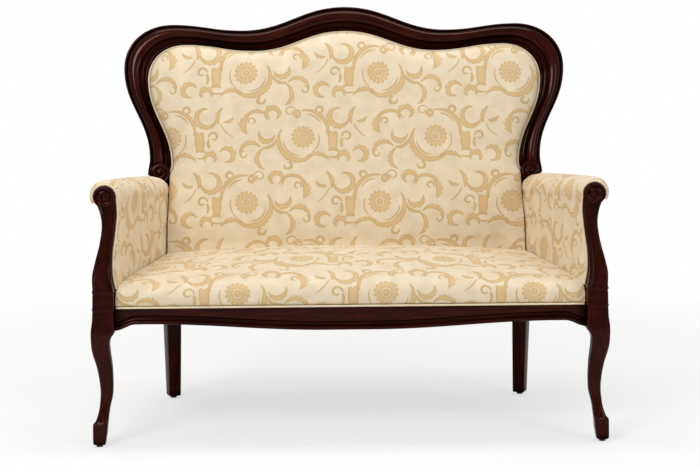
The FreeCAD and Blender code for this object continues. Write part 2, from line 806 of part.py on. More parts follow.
def behind_back(forward):
    """Everything behind a plane that lies forward of the back's rear face."""
    wide, deep, low, high = 2.5 * ear_half_width, crest_height, 0.0, 1.2 * crest_height
    low_y, high_y = back_y(low, forward), back_y(high, forward)
    wire = outline(lambda y, z: V(-wide / 2, y, z), (low_y, low), (high_y, high),
                   (high_y + deep, high), (low_y + deep, low))
    return Part.Face(wire).extrude(V(wide, 0, 0))


# Outside arm: a thin board with cloth, hollow along the post at the front, straight at the back
def outside_arm():
    below_rail = arm_rail_height / 2 + seam_gap + cloth_thickness
    bottom = seat_rail_top + seam_gap
    rear_y = back_y(arm_rail_rear_height, post_depth) + rear_block_depth
    wires = []
    front_y = leg_block_rear_y - tenon_shoulder
    rear_top_x = post_top_outer_x - 2 * panel_thickness
    for y, top_x, hollow in ((front_y, front_leg_x - panel_top_setback, panel_front_hollow),
                             (rear_y, rear_top_x, panel_rear_hollow)):
        foot_x = side_line(y) - panel_foot_setback
        top = arm_rail_line(y) - below_rail
        wires.append(bowed(lambda x, z, y=y: V(x, y, z),
                           [(foot_x - panel_thickness, bottom, hollow), (foot_x, bottom, 0),
                            (top_x, top, -hollow), (top_x - panel_thickness, top, 0)]))
    return loft(wires)


# Webbing: straps that pass over and under each other.
def woven(knots, place, width_way, width):
    """Strap from knots (distance, level), with the thickness set off each side of the level."""
    half = strap_thickness / 2
    upper = [place(u, level + half) for u, level in knots]
    lower = [place(u, level - half) for u, level in reversed(knots)]
    face = Part.Face(Part.makePolygon(upper + lower + [upper[0]]))
    return face.extrude(width_way * width)


def weave_knots(start, end, crossings, half_width, first_over, rest_level):
    """Knots of a strap that lies flat at its ends and goes over and under at the crossings."""
    knots = [(start, rest_level), (start + strap_tacked_length, rest_level)]
    reach = half_width + strap_crossing_gap
    over = first_over
    for crossing in crossings:
        level = strap_lift if over else -strap_lift
        knots += [(crossing - reach, level), (crossing + reach, level)]
        over = not over
    return knots + [(end - strap_tacked_length, rest_level), (end, rest_level)]


seat_web_level = seat_rail_top + seam_gap + strap_thickness / 2 + strap_lift
seat_strap_places = [seat_strap_pitch * (i + 0.5 - seat_strap_pairs)
                     for i in range(2 * seat_strap_pairs)]
seat_back_end = back_y(seat_rail_top, 5.0)
seat_front_end = rail_front_y + 6
long_strap_places = [between(seat_front_end, seat_back_end, (i + 1) / (seat_long_straps + 1))
                     for i in range(seat_long_straps)]


def seat_cross_straps():
    straps = []
    for i, middle_x in enumerate(seat_strap_places):
        x = middle_x - seat_strap_width / 2
        knots = weave_knots(seat_front_end, seat_back_end, long_strap_places, seat_strap_width / 2,
                            i % 2 == 0, -strap_lift)
        straps.append(woven(knots, lambda y, level, x=x: V(x, y, seat_web_level + level),
                            V(1, 0, 0), seat_strap_width))
    return straps


def seat_long_strap(j, y):
    end = side_line(y + seat_strap_width / 2) - 8
    knots = weave_knots(-end, end, seat_strap_places, seat_strap_width / 2, j % 2 == 1, -strap_lift)
    return woven(knots, lambda x, level: V(x, y - seat_strap_width / 2, seat_web_level + level),
                 V(0, 1, 0), seat_strap_width)


def sight_height(x):
    """Height of the sight line over a place on the crest, found by halving."""
    low, high = 0.0, 2.6
    for _ in range(30):
        middle = (low + high) / 2
        low, high = (middle, high) if key_curve(sight_keys, middle)[0] < abs(x) else (low, middle)
    return key_curve(sight_keys, low)[1]


def sight_half(height):
    """Half width of the sight line at a height on the stile, found by halving."""
    low, high = 2.6, 5.0
    for _ in range(30):
        middle = (low + high) / 2
        low, high = (middle, high) if key_curve(sight_keys, middle)[1] > height else (low, middle)
    return key_curve(sight_keys, low)[0]


strap_end_gap = 2 * welt_radius + 2
back_web_level = rebate_thickness + seam_gap + strap_thickness / 2 + strap_lift
back_strap_places = [back_strap_pitch * (i - 2) for i in range(5)]
back_long_places = [between(waist_height + 20, ear_side_height - 20, i / 2) for i in range(3)]


def back_upright_straps():
    straps = []
    for i, middle_x in enumerate(back_strap_places):
        x = middle_x - back_strap_width / 2
        low = lower_back_rail_bottom + 8
        high = min(sight_height(x), sight_height(x + back_strap_width),
                   sight_height(middle_x)) - strap_end_gap
        knots = weave_knots(low, high, back_long_places, back_strap_width / 2, i % 2 == 0, -strap_lift)
        straps.append(woven(knots, lambda h, level, x=x: on_back(x, h, back_web_level + level),
                            V(1, 0, 0), back_strap_width))
    return straps


def back_long_strap(j, height):
    low = height - back_strap_width / 2
    half = min(sight_half(low), sight_half(low + back_strap_width), sight_half(height)) - strap_end_gap
    knots = weave_knots(-half, half, back_strap_places, back_strap_width / 2, j % 2 == 1, -strap_lift)
    way = on_back(0, 1, 0) - on_back(0, 0, 0)
    return woven(knots, lambda x, level: on_back(x, low, back_web_level + level), way, back_strap_width)


# Wood pieces of one side, drawn on the right and mirrored at the end
leg = front_leg()
post = arm_post()
rear = rear_leg()
upper_rail, upper_socket = tenoned(arm_rail, [post, rear])
lower_rail, lower_socket = tenoned(lower_arm_rail, [leg, post, rear])
bore(upper_socket, ["arm_post", "rear_leg"])
bore(lower_socket, ["front_leg", "rear_leg"])
paired = {"front_leg": leg, "arm_post": post.fuse(arm_post_scroll()), "rear_leg": rear,
          "side_seat_rail": side_seat_rail().cut([leg, rear]), "arm_rail": upper_rail,
          "lower_arm_rail": lower_rail}

# Wood pieces across the middle
middle = {"front_seat_rail": front_seat_rail()}
middle["back_seat_rail"] = raked_bar(-rear_block_inner_x, rear_block_inner_x, back_rail_bottom,
                                     seat_rail_top, seat_rail_thickness).cut([rear, mirrored(rear)])
middle["crest_rail"] = loft([moulding(place) for place in crest_places])
lower_back_top = lower_back_rail_bottom + lower_back_rail_height
middle["lower_back_rail"] = raked_bar(-post_top_inner_x, post_top_inner_x, lower_back_rail_bottom,
                                      lower_back_top, rebate_thickness).cut([rear, mirrored(rear)])
brace_top = seat_rail_top - brace_below_rail_top
brace_bottom = brace_top - brace_height
brace_middle = between(brace_bottom, brace_top, 0.5)
brace = box_between((-brace_width / 2, leg_block_rear_y, brace_bottom),
                    (brace_width / 2, back_y(brace_middle, seat_rail_thickness / 2), brace_top))
middle["seat_cross_brace"] = brace.cut(middle["back_seat_rail"])


# Corner blocks: glued into the four corners of the seat frame
def corner_block(points):
    wire = outline(lambda x, y: V(x, y, brace_bottom), *points)
    return Part.Face(wire).extrude(V(0, 0, brace_height))


def rail_inner(y):
    """X of the side rail's inner face."""
    lean = side_line(y + 1) - side_line(y)
    return side_line(y) - seat_rail_thickness * math.hypot(1, lean)


front_edge = leg_block_rear_y + seam_gap
front_corner = corner_block([(rail_inner(front_edge) - seam_gap, front_edge),
                             (rail_inner(front_edge) - corner_block_reach, front_edge),
                             (rail_inner(front_edge + corner_block_reach) - seam_gap,
                              front_edge + corner_block_reach)])
rear_front = back_y(brace_bottom, rear_block_depth) - seam_gap
rear_face = back_y(brace_bottom, seat_rail_thickness) - seam_gap
rear_corner = corner_block([(rail_inner(rear_front) - seam_gap, rear_front),
                            (rail_inner(rear_front - rear_block_reach) - seam_gap,
                             rear_front - rear_block_reach),
                            (rear_block_inner_x - rear_block_reach, rear_face),
                            (rear_block_inner_x - seam_gap, rear_face),
                            (rear_block_inner_x - seam_gap, rear_front)])
paired["corner_blocks"] = Part.makeCompound([front_corner, rear_corner])

# Tenons of the rails in the legs and of the brace in the rails
rail_middle = between(apron_shoulder_height, seat_rail_top, 0.5)
rail_tenon_height = seat_rail_top - apron_shoulder_height - 2 * tenon_shoulder
box_tenon("front_seat_rail", "front_leg",
          V(leg_block_inner_x, rail_front_y + seat_rail_thickness / 2, rail_middle), V(1, 0, 0), V(0, 1, 0),
          rail_tenon_height)
box_tenon("back_seat_rail", "rear_leg",
          V(rear_block_inner_x, back_y(rail_middle, seat_rail_thickness / 2), rail_middle), V(1, 0, 0),
          V(0, 1, 0), rail_tenon_height)
lower_back_middle = between(lower_back_rail_bottom, lower_back_top, 0.5)
box_tenon("lower_back_rail", "rear_leg",
          V(middle["lower_back_rail"].BoundBox.XMax, back_y(lower_back_middle, rebate_thickness / 2),
            lower_back_middle), V(0.8, 0, 0), V(0, 0.5, 0), lower_back_rail_height - 4 * tenon_shoulder)
for y, name in ((leg_block_rear_y, "front_seat_rail"),
                (back_y(brace_middle, seat_rail_thickness), "back_seat_rail")):
    box_tenon("seat_cross_brace", name, V(0, y, brace_middle), V(0, 0.7, 0), V(1, 0, 0),
              brace_height - 3 * tenon_shoulder, False)
for y, name in ((leg_block_rear_y, "front_leg"), (back_y(rail_middle, rear_block_depth), "rear_leg")):
    tenon("side_seat_rail", name, side_tenon(y, 0.0, tenon_length),
          side_tenon(y, tenon_clearance, tenon_length + socket_end_gap))

# Dowels, bored through both pieces of each joint
joint_middle = rebate_thickness * 0.8
joint_width = back_station(crest_joint)[4]
before, after = [back_point(crest_joint + step, crest_dowel_aim, joint_middle) for step in (-0.02, 0.02)]
for share in crest_dowel_shares:
    at = back_point(crest_joint, share * joint_width, joint_middle)
    dowel("crest_dowels", ["crest_rail", "rear_leg"], at, after - before)
dowel("arm_post_dowels", ["arm_post", "front_leg"],
      V(front_leg_x + post_dowel_offset[0], front_leg_y + post_dowel_offset[1], leg_block_top), V(0, 0, 1))

# Glides with their pins
toe_middle = (toe_out + toe_in) / 2
for x, y, name in ((front_leg_x + toe_middle, front_leg_y - toe_middle, "front_leg"),
                   (rear_foot_x, rear_foot_y, "rear_leg")):
    pad = Part.makeCylinder(glide_radius, glide_height, V(x, y, 0))
    pin_top = glide_height + glide_pin_length
    pin, hole = [box_between((x - half, y - half, glide_height), (x + half, y + half, top))
                 for half, top in ((glide_pin_half, pin_top), (glide_pin_half + dowel_clearance, pin_top + 1))]
    fix("foot_glides", pad.fuse(pin))
    bore(hole, [name])

# Tenons are added to their rails, then every hole is cut in the pieces that it was remembered for
for name, solid, is_paired in tenons:
    if name in paired:
        paired[name] = paired[name].fuse(solid)
    else:
        middle[name] = middle[name].fuse([solid, mirrored(solid)] if is_paired else [solid])
for solid, names, is_paired in bores:
    for name in names:
        if name in paired:
            paired[name] = paired[name].cut(solid)
        else:
            middle[name] = middle[name].cut([solid, mirrored(solid)] if is_paired else [solid])

# Soft pieces
wall = behind_back(post_depth + seam_gap)
post_pocket = arm_post(seam_gap * 2)
volute_pocket = Part.makeCylinder(stile_volute_radius + 2 * seam_gap, 2 * stile_volute_thickness,
                                  on_back(stile_volute_x, stile_volute_height, 0),
                                  V(0, -math.cos(rake), math.sin(rake)))
pockets = [volute_pocket, mirrored(volute_pocket), rear, mirrored(rear)]
middle["seat_pad"] = seat_pad()
middle["seat_cover"] = seat_pad(seam_gap + cloth_thickness).cut(seat_pad(seam_gap))
middle["back_pad"] = back_pad().cut(pockets)
middle["back_cover"] = back_pad(seam_gap + cloth_thickness).cut([back_pad(seam_gap)] + pockets)
paired["arm_pad"] = arm_pad().cut([post_pocket, wall, rear, volute_pocket, arm_rail(seam_gap, tenon_length)])
arm_pockets = [post_pocket, wall, rear, volute_pocket]
paired["arm_cover"] = arm_pad(seam_gap + cloth_thickness).cut([arm_pad(seam_gap)] + arm_pockets)
paired["outside_arm_panel"] = outside_arm().cut([post_pocket, wall, leg, rear])
middle["outside_back_panel"] = back_sheet(-rebate_width + 2, back_rail_bottom + 8, rear_block_inner_x + 14,
                                          -seam_gap - panel_thickness, -seam_gap).cut([rear, mirrored(rear)])
hessian_level = back_web_level + strap_lift + strap_thickness / 2 + seam_gap
middle["back_hessian"] = back_sheet(2 * welt_radius + 2.5, lower_back_rail_bottom + 2, rear_block_inner_x,
                                    hessian_level, hessian_level + hessian_thickness).cut(pockets)

# Hessian on the seat webbing
hessian_low = seat_web_level + strap_lift + strap_thickness / 2 + seam_gap
hessian_front_y = seat_pad_front_y + 4
front_half, rear_half = seat_half(seat_pad_front_y), seat_half(seat_pad_rear_y)
corners = [(-front_half, hessian_front_y), (front_half, hessian_front_y),
           (rear_half, seat_pad_rear_y), (-rear_half, seat_pad_rear_y)]
middle["seat_hessian"] = Part.Face(outline(lambda x, y: V(x, y, hessian_low), *corners)).extrude(
    V(0, 0, hessian_thickness))

# Dust cover under the corner blocks
dust_top = brace_bottom - seam_gap
dust_rear = back_y(dust_top, seat_rail_thickness) - 1
dust_front = leg_block_rear_y + 1
dust_corners = [(-rail_inner(dust_front) + 2, dust_front), (rail_inner(dust_front) - 2, dust_front),
                (rail_inner(rear_front) - 2, rear_front - 2), (rear_block_inner_x - 2, rear_front - 2),
                (rear_block_inner_x - 2, dust_rear), (-rear_block_inner_x + 2, dust_rear),
                (-rear_block_inner_x + 2, rear_front - 2), (-rail_inner(rear_front) + 2, rear_front - 2)]
middle["dust_cover"] = Part.Face(outline(lambda x, y: V(x, y, dust_top - dust_cover_thickness),
                                         *dust_corners)).extrude(V(0, 0, dust_cover_thickness))

# Webbing
middle["seat_webbing_front_to_back"] = Part.makeCompound(seat_cross_straps())
middle["seat_webbing_side_to_side"] = Part.makeCompound([seat_long_strap(j, y)
                                                         for j, y in enumerate(long_strap_places)])
middle["back_webbing_upright"] = Part.makeCompound(back_upright_straps())
middle["back_webbing_side_to_side"] = Part.makeCompound([back_long_strap(j, h)
                                                         for j, h in enumerate(back_long_places)])

# Piping
facing = V(0, -math.cos(rake), math.sin(rake))
middle["back_piping"] = welt([back_point(at, back_station(at)[4] + welt_radius + 0.1,
                                         rebate_thickness + seam_gap + welt_radius)
                              for at in whole_places], facing, welt_radius).cut(pockets[:2])
piping_y = rail_front_y - 0.4
piping_z = seat_rail_top + seam_gap + welt_radius
middle["seat_piping"] = Part.makeCylinder(welt_radius, 2 * seat_pad_front_half,
                                          V(-seat_pad_front_half, piping_y, piping_z), V(1, 0, 0))


# Places on the inner edge of the post, as share of the height and offset from the leg's centre, and
# places round its head in degrees
arm_piping_edge = ((0.0, -26.0), (0.1, -21.5), (0.22, -19.5), (0.39, -21.5), (0.6, -29.0), (0.82, -35.0))
arm_piping_turns = (190, 160, 130, 100, 70, 40, 10, -15)


def arm_piping():
    """Piping up the inner edge of the post and over its head."""
    y = arm_pad_front_y - 4
    clear = 2 * seam_gap + welt_radius
    points = [V(front_leg_x + offset - clear, y, post_height(share)) for share, offset in arm_piping_edge]
    reach = arm_volute_radius + clear
    for angle in arm_piping_turns:
        turn = math.radians(angle)
        points.append(V(arm_volute_x + reach * math.cos(turn), y, arm_volute_height + reach * math.sin(turn)))
    return welt(points, V(0, 1, 0), welt_radius)


paired["arm_piping"] = arm_piping()

# Left and right, then one file for each piece
for name, shape in paired.items():
    if name == "corner_blocks":
        pieces[name] = Part.makeCompound([shape, mirrored(shape)])
    else:
        pieces[name + "_right"] = shape
        pieces[name + "_left"] = mirrored(shape)
pieces.update(middle)
for name, solids in fixings.items():
    pieces[name] = Part.makeCompound(solids)

whole = FreeCAD.BoundBox()
for name, shape in pieces.items():
    solids = shape.Solids
    state = "ok" if solids and all(solid.isValid() and solid.Volume > 0 for solid in solids) else "CHECK"
    whole.add(shape.BoundBox)
    print(f"{name:28} solids {len(solids):3} faces {len(shape.Faces):4} "
          f"volume {sum(solid.Volume for solid in solids) / 1000:9.1f} cm3 {state}")
    shape.exportStep(f"parts/{name}.step")
limits = (whole.XMin, whole.XMax, whole.YMin, whole.YMax, whole.ZMin, whole.ZMax)
print("bounds", [round(value, 1) for value in limits])
print("pieces", len(pieces))
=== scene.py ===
import math

import bmesh
import bpy
from mathutils import Matrix, Vector, noise


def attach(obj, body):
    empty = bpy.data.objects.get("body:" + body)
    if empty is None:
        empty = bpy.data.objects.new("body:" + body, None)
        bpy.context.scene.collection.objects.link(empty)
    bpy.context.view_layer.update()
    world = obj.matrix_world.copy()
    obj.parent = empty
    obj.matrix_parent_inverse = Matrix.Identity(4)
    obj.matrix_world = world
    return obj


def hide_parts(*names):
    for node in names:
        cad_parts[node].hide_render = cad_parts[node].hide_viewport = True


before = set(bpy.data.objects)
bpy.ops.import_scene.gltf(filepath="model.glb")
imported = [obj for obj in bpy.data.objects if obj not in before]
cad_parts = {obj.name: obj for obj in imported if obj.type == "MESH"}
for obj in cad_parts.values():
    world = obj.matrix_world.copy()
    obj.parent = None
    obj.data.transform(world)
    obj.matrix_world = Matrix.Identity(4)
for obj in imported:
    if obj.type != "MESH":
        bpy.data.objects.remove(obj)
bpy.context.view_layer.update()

# Rear legs and stiles. Each is one long mahogany post: a square foot turned on its corner, a block that
# takes the seat rails, a plain length that is upholstered over, and the moulded stile up to the ear.
# The stile's lower end is carved as a scroll. Sawn, moulded and french polished.
RAKE = math.radians(12.6)
BACK_MARK, BACK_MARK_Y, BACK_MARK_FORWARD = 594.0, 206.5, 20.0
# Keys of the frame's outer edge and of its sight line: (distance from the middle, height, way it runs)
OUTER = [(0.0, 1070.0, "level"), (281.0, 1006.5, "level"), (474.0, 1023.0, "level"),
         (606.5, 905.0, "plumb"), (536.0, 660.0, "plumb"), (541.0, 617.0, "plumb")]
SIGHT = [(0.0, 1004.5, "level"), (252.0, 950.5, "level"), (440.0, 968.0, "level"),
         (541.0, 875.0, "plumb"), (477.3, 644.0, "plumb"), (488.0, 609.0, "plumb")]
CREST_JOINT, STILE_FOOT = 2.45, 5.0
# Where along the keys, and how far, the moulding sinks under the carved scroll
SUNK_FROM, SUNK_RUN, SUNK_LEVEL, SUNK_SHARE = 4.0, 0.45, 24, 0.8
SCROLL_TURNS, SCROLL_RINGS, SCROLL_STEPS = 1.9, 40, 96
FOOT_X, FOOT_Y, FOOT_TURN = 481.0, 186.5, -24
GLIDE_TOP, FOOT_BEVEL_TOP = 6.0, 9.0
RAIL_TOP = 336.0


def between(a, b, share):
    return a + (b - a) * share


def back_y(height, forward):
    """Depth of the raked back at a height, forward square to its rear face."""
    return (BACK_MARK_Y + (height - BACK_MARK) * math.tan(RAKE)
            - (forward - BACK_MARK_FORWARD) / math.cos(RAKE))


def metres(x, y, z):
    return Vector((x, y, z)) / 1000


def on_back(x, height, forward):
    """Point of the front view laid on the raked back, forward square to its rear face."""
    lift = forward - BACK_MARK_FORWARD
    y = back_y(height, BACK_MARK_FORWARD) - lift * math.cos(RAKE)
    return metres(x, y, height + lift * math.sin(RAKE))


def key_curve(keys, at):
    """Point of a key curve: 0 is the crest's middle, each whole number the next key."""
    index = min(int(abs(at)), len(keys) - 2)
    t = abs(at) - index
    (ax, ah, a_way), (bx, bh, b_way) = keys[index], keys[index + 1]
    pull = 0.42 if a_way == b_way else 0.58  # fuller where the edge turns from level to plumb
    first = (between(ax, bx, pull), ah) if a_way == "level" else (ax, between(ah, bh, pull))
    second = (between(bx, ax, pull), bh) if b_way == "level" else (bx, between(bh, ah, pull))
    weights = ((1 - t) ** 3, 3 * t * (1 - t) ** 2, 3 * t * t * (1 - t), t ** 3)
    poles = ((ax, ah), first, second, (bx, bh))
    x = sum(w * pole[0] for w, pole in zip(weights, poles))
    height = sum(w * pole[1] for w, pole in zip(weights, poles))
    return math.copysign(x, at), height


def arc(a, m, b, count):
    """Points after a on the arc from a through m to b."""
    ax, ay, bx, by, cx, cy = *a, *m, *b
    d = 2 * (ax * (by - cy) + bx * (cy - ay) + cx * (ay - by))
    ux = ((ax**2 + ay**2) * (by - cy) + (bx**2 + by**2) * (cy - ay) + (cx**2 + cy**2) * (ay - by)) / d
    uy = ((ax**2 + ay**2) * (cx - bx) + (bx**2 + by**2) * (ax - cx) + (cx**2 + cy**2) * (bx - ax)) / d
    start = math.atan2(ay - uy, ax - ux)
    turn = math.atan2(cy - uy, cx - ux) - start
    through = math.atan2(by - uy, bx - ux) - start
    turn, through = turn % (2 * math.pi), through % (2 * math.pi)
    if through > turn:
        turn -= 2 * math.pi
    radius = math.hypot(ax - ux, ay - uy)
    steps = [start + turn * i / count for i in range(1, count + 1)]
    return [(ux + radius * math.cos(s), uy + radius * math.sin(s)) for s in steps]


def moulding(at):
    """Section of the back frame: edge bead, broad rounded face, cove, sight bead and rebate.

    A point is its distance in from the outer edge and its height over the rear face.
    """
    ox, oh = key_curve(OUTER, at)
    ix, ih = key_curve(SIGHT, at)
    w = math.hypot(ix - ox, ih - oh)
    face_end, bead = w * 0.64, w - 10
    section = [(0, 0), (0, 12), (0, 23), (0.4, 25)]
    section += arc((0.4, 25), (4.2, 29), (8, 25), 6)
    section += [(8.6, 24), (9.6, 24.6)]
    section += arc((9.6, 24.6), (w * 0.36, 42), (face_end, 37), 16)
    section += arc((face_end, 37), (between(face_end, bead, 0.35), 25), (bead, 21), 10)
    section += arc((bead, 21), (w - 5.5, 24.8), (w - 1, 21), 6)
    section += [(w - 1, 18), (w + 18, 18), (w + 18, 0)]
    sunk = min(max((abs(at) - SUNK_FROM) / SUNK_RUN, 0), 1)
    section = [(s, n - (n - SUNK_LEVEL) * SUNK_SHARE * sunk if n > SUNK_LEVEL else n) for s, n in section]
    return [on_back(ox + (ix - ox) / w * s, oh + (ih - oh) / w * s, n) for s, n in section]


def shell(rows, closed=True, caps=True, uv=None):
    """Surface through rows of points, as vertices, faces and a (u, v) in metres for each corner."""
    count = len(rows[0])
    if uv is None:
        uv, u = [], 0.0
        for i, row in enumerate(rows):
            u += (row[0] - rows[i - 1][0]).length if i else 0.0
            loop = row + row[:1] if closed else row
            marks, v = [(u, 0.0)], 0.0
            for a, b in zip(loop, loop[1:]):
                v += (b - a).length
                marks.append((u, v))
            uv.append(marks)
    faces, corners = [], []
    for i in range(len(rows) - 1):
        for j in range(count if closed else count - 1):
            k = (j + 1) % count
            faces.append([i * count + j, i * count + k, (i + 1) * count + k, (i + 1) * count + j])
            corners.append([uv[i][j], uv[i][j + 1], uv[i + 1][j + 1], uv[i + 1][j]])
    for i in (0, len(rows) - 1) if caps else ():
        faces.append([i * count + j for j in range(count)])
        corners.append([uv[i][j] for j in range(count)])
    return [point for row in rows for point in row], faces, corners


def build(name, shells, side=1, layer="grain"):
    """One mesh from several surfaces, mirrored for the left side."""
    points, faces, corners = [], [], []
    for verts, polygons, marks in shells:
        faces += [[index + len(points) for index in polygon] for polygon in polygons]
        corners += marks
        points += [Vector((side * p.x, p.y, p.z)) for p in verts]
    mesh = bpy.data.meshes.new(name)
    mesh.from_pydata(points, [], faces)
    layer = mesh.uv_layers.new(name=layer)
    flat = [mark for face in corners for mark in face]
    for loop, mark in zip(layer.data, flat):
        loop.uv = mark
    work = bmesh.new()
    work.from_mesh(mesh)
    bmesh.ops.recalc_face_normals(work, faces=work.faces)
    work.to_mesh(mesh)
    work.free()
    piece = bpy.data.objects.new(name, mesh)
    bpy.context.scene.collection.objects.link(piece)
    return piece


def fit(piece, material, slot, *nodes, angle=40):
    """Give a piece its finish and let it stand for its nodes of the construction model."""
    piece.data.materials.append(material)
    piece.data.shade_smooth()
    piece.data.set_sharp_from_angle(angle=math.radians(angle))
    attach(piece, "root")
    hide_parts(*nodes)


def add(tree, kind, inputs=None, **settings):
    """New shader node with its inputs linked or set."""
    made = tree.nodes.new(kind)
    for key, value in settings.items():
        setattr(made, key, value)
    for key, value in (inputs or {}).items():
        if isinstance(value, bpy.types.NodeSocket):
            tree.links.new(value, made.inputs[key])
        else:
            made.inputs[key].default_value = value
    return made


def calc(tree, operation, *values):
    """One sum in a node tree."""
    return add(tree, "ShaderNodeMath", dict(enumerate(values)), operation=operation).outputs[0]


def fresh(name):
    """New material with its shader and node tree."""
    material = bpy.data.materials.new(name)
    material.use_nodes = True
    tree = material.node_tree
    return material, tree, tree.nodes["Principled BSDF"]


def shades(tree, factor, *stops):
    """Colour ramp over a factor from (place, colour) stops."""
    ramp = add(tree, "ShaderNodeValToRGB", {0: factor})
    ramp.color_ramp.elements.remove(ramp.color_ramp.elements[1])
    ramp.color_ramp.elements[0].position = stops[0][0]
    ramp.color_ramp.elements[0].color = (*stops[0][1], 1)
    for place, colour in stops[1:]:
        ramp.color_ramp.elements.new(place).color = (*colour, 1)
    return ramp.outputs[0]


def noisy(tree, place, scale, detail, distortion=0.0):
    """Even noise over a place in the material."""
    return add(tree, "ShaderNodeTexNoise", {"Vector": place, "Scale": scale, "Detail": detail,
                                            "Distortion": distortion}).outputs[0]


def mixed(tree, share, first, second):
    """Colour between two colours, by its share of the second."""
    return add(tree, "ShaderNodeMix", {0: share, 6: first, 7: second}, data_type="RGBA").outputs[2]


def relief(tree, shader, height, strength, distance):
    """Fine relief of the surface; distance is in metres."""
    bump = add(tree, "ShaderNodeBump", {"Strength": strength, "Distance": distance, "Height": height})
    tree.links.new(bump.outputs[0], shader.inputs["Normal"])


def polished_mahogany():
    """Dark red-brown wood with long pores along the piece, under a clear polish.

    Painted shading darkens the coves: where the open air around a point is small, the colour darkens and the
    coat and specular level drop.
    """
    material, tree, shader = fresh("mahogany")
    place = add(tree, "ShaderNodeUVMap", uv_map="grain").outputs[0]
    grain = add(tree, "ShaderNodeMapping", {"Vector": place, "Scale": (5.0, 70.0, 1.0)}).outputs[0]
    figure = noisy(tree, grain, 1.6, 6.0, 0.8)
    pores_at = add(tree, "ShaderNodeMapping", {"Vector": place, "Scale": (60.0, 900.0, 1.0)}).outputs[0]
    pores = noisy(tree, pores_at, 1.0, 3.0)
    cloudy = noisy(tree, place, 9.0, 2.0)
    tone = calc(tree, "ADD", calc(tree, "MULTIPLY", figure, 0.65), calc(tree, "MULTIPLY", cloudy, 0.35))
    colour = shades(tree, tone, (0.3, (0.0065, 0.0003, 0.0001)), (0.5, (0.0220, 0.0013, 0.0003)),
                    (0.72, (0.060, 0.0050, 0.0012)))
    porous = mixed(tree, calc(tree, "GREATER_THAN", pores, 0.62), colour, (0.003, 0.0006, 0.0004, 1))
    # Painted shade: ambient occlusion darkens the wood's colour in the coves and lowers their coat and
    # specular level.
    painted_shade_occlusion = add(tree, "ShaderNodeAmbientOcclusion", {"Distance": 0.03}, samples=6).outputs["AO"]
    painted_shade_occlusion = calc(tree, "POWER", painted_shade_occlusion, 2.2)
    painted_cove_shade = mixed(tree, painted_shade_occlusion, (0.0012, 0.0004, 0.0003, 1), porous)
    tree.links.new(painted_cove_shade, shader.inputs["Base Color"])
    tree.links.new(calc(tree, "MULTIPLY", painted_shade_occlusion, 0.13), shader.inputs["Coat Weight"])
    tree.links.new(calc(tree, "MULTIPLY", painted_shade_occlusion, 0.1), shader.inputs["Specular IOR Level"])
    tree.links.new(calc(tree, "MULTIPLY_ADD", cloudy, 0.22, 0.12), shader.inputs["Roughness"])
    shader.inputs["Specular Tint"].default_value = (1.0, 0.5, 0.38, 1)
    shader.inputs["Coat Roughness"].default_value = 0.08
    relief(tree, shader, figure, 0.06, 0.0006)
    return material


def carved_scroll(centre, across, up, facing, radius, thickness, start, hand=1):
    """Round end of a post with a spiral ridge and an eye carved on its face."""
    eye, rim_start = radius * 0.17, radius * 0.96
    swell, groove, eye_dome, rim_drop = 4.2, 3.2, 1.8, 1.2

    def place(reach, angle, height):
        return (centre + across * (reach * math.cos(angle) / 1000) + up * (reach * math.sin(angle) / 1000)
                + facing * (height / 1000))

    angles = [2 * math.pi * j / SCROLL_STEPS for j in range(SCROLL_STEPS)]
    rows = []
    for i in range(1, SCROLL_RINGS + 1):
        reach = radius * i / SCROLL_RINGS
        row = []
        for angle in angles:
            phase = (SCROLL_TURNS * (1 - reach / radius) + hand * (angle - start) / (2 * math.pi)) % 1.0
            carved = swell * math.sin(math.pi * phase) ** 0.55 - groove
            if reach < eye:
                carved = eye_dome * math.sqrt(1 - (reach / eye) ** 2)
            if reach > rim_start:
                carved -= rim_drop * (reach - rim_start) / (radius * 0.04)
            row.append(place(reach, angle, thickness + carved))
        rows.append(row)
    return shell(rows + [[place(radius, angle, 0) for angle in angles]])


def turned_square(x, y, z, half, turn, corner):
    """Level square with rounded corners, turned about its middle by degrees."""
    c, s = math.cos(math.radians(turn)), math.sin(math.radians(turn))
    points = []
    for quarter in range(4):
        diagonal = math.radians(quarter * 90 + 45)
        for step in range(5):
            angle = math.radians(quarter * 90 + step * 22.5)
            u = math.copysign(half - corner, math.cos(diagonal)) + corner * math.cos(angle)
            v = math.copysign(half - corner, math.sin(diagonal)) + corner * math.sin(angle)
            points.append(metres(x + u * c - v * s, y + u * s + v * c, z))
    return points


def raked_level(z, inner, outer, forward):
    """Level oblong of the post at a height, its rear edge on the raked back."""
    corners = [(inner, 0), (outer, 0), (outer, forward), (inner, forward)]
    return [metres(x, back_y(z, n), z) for x, n in corners]


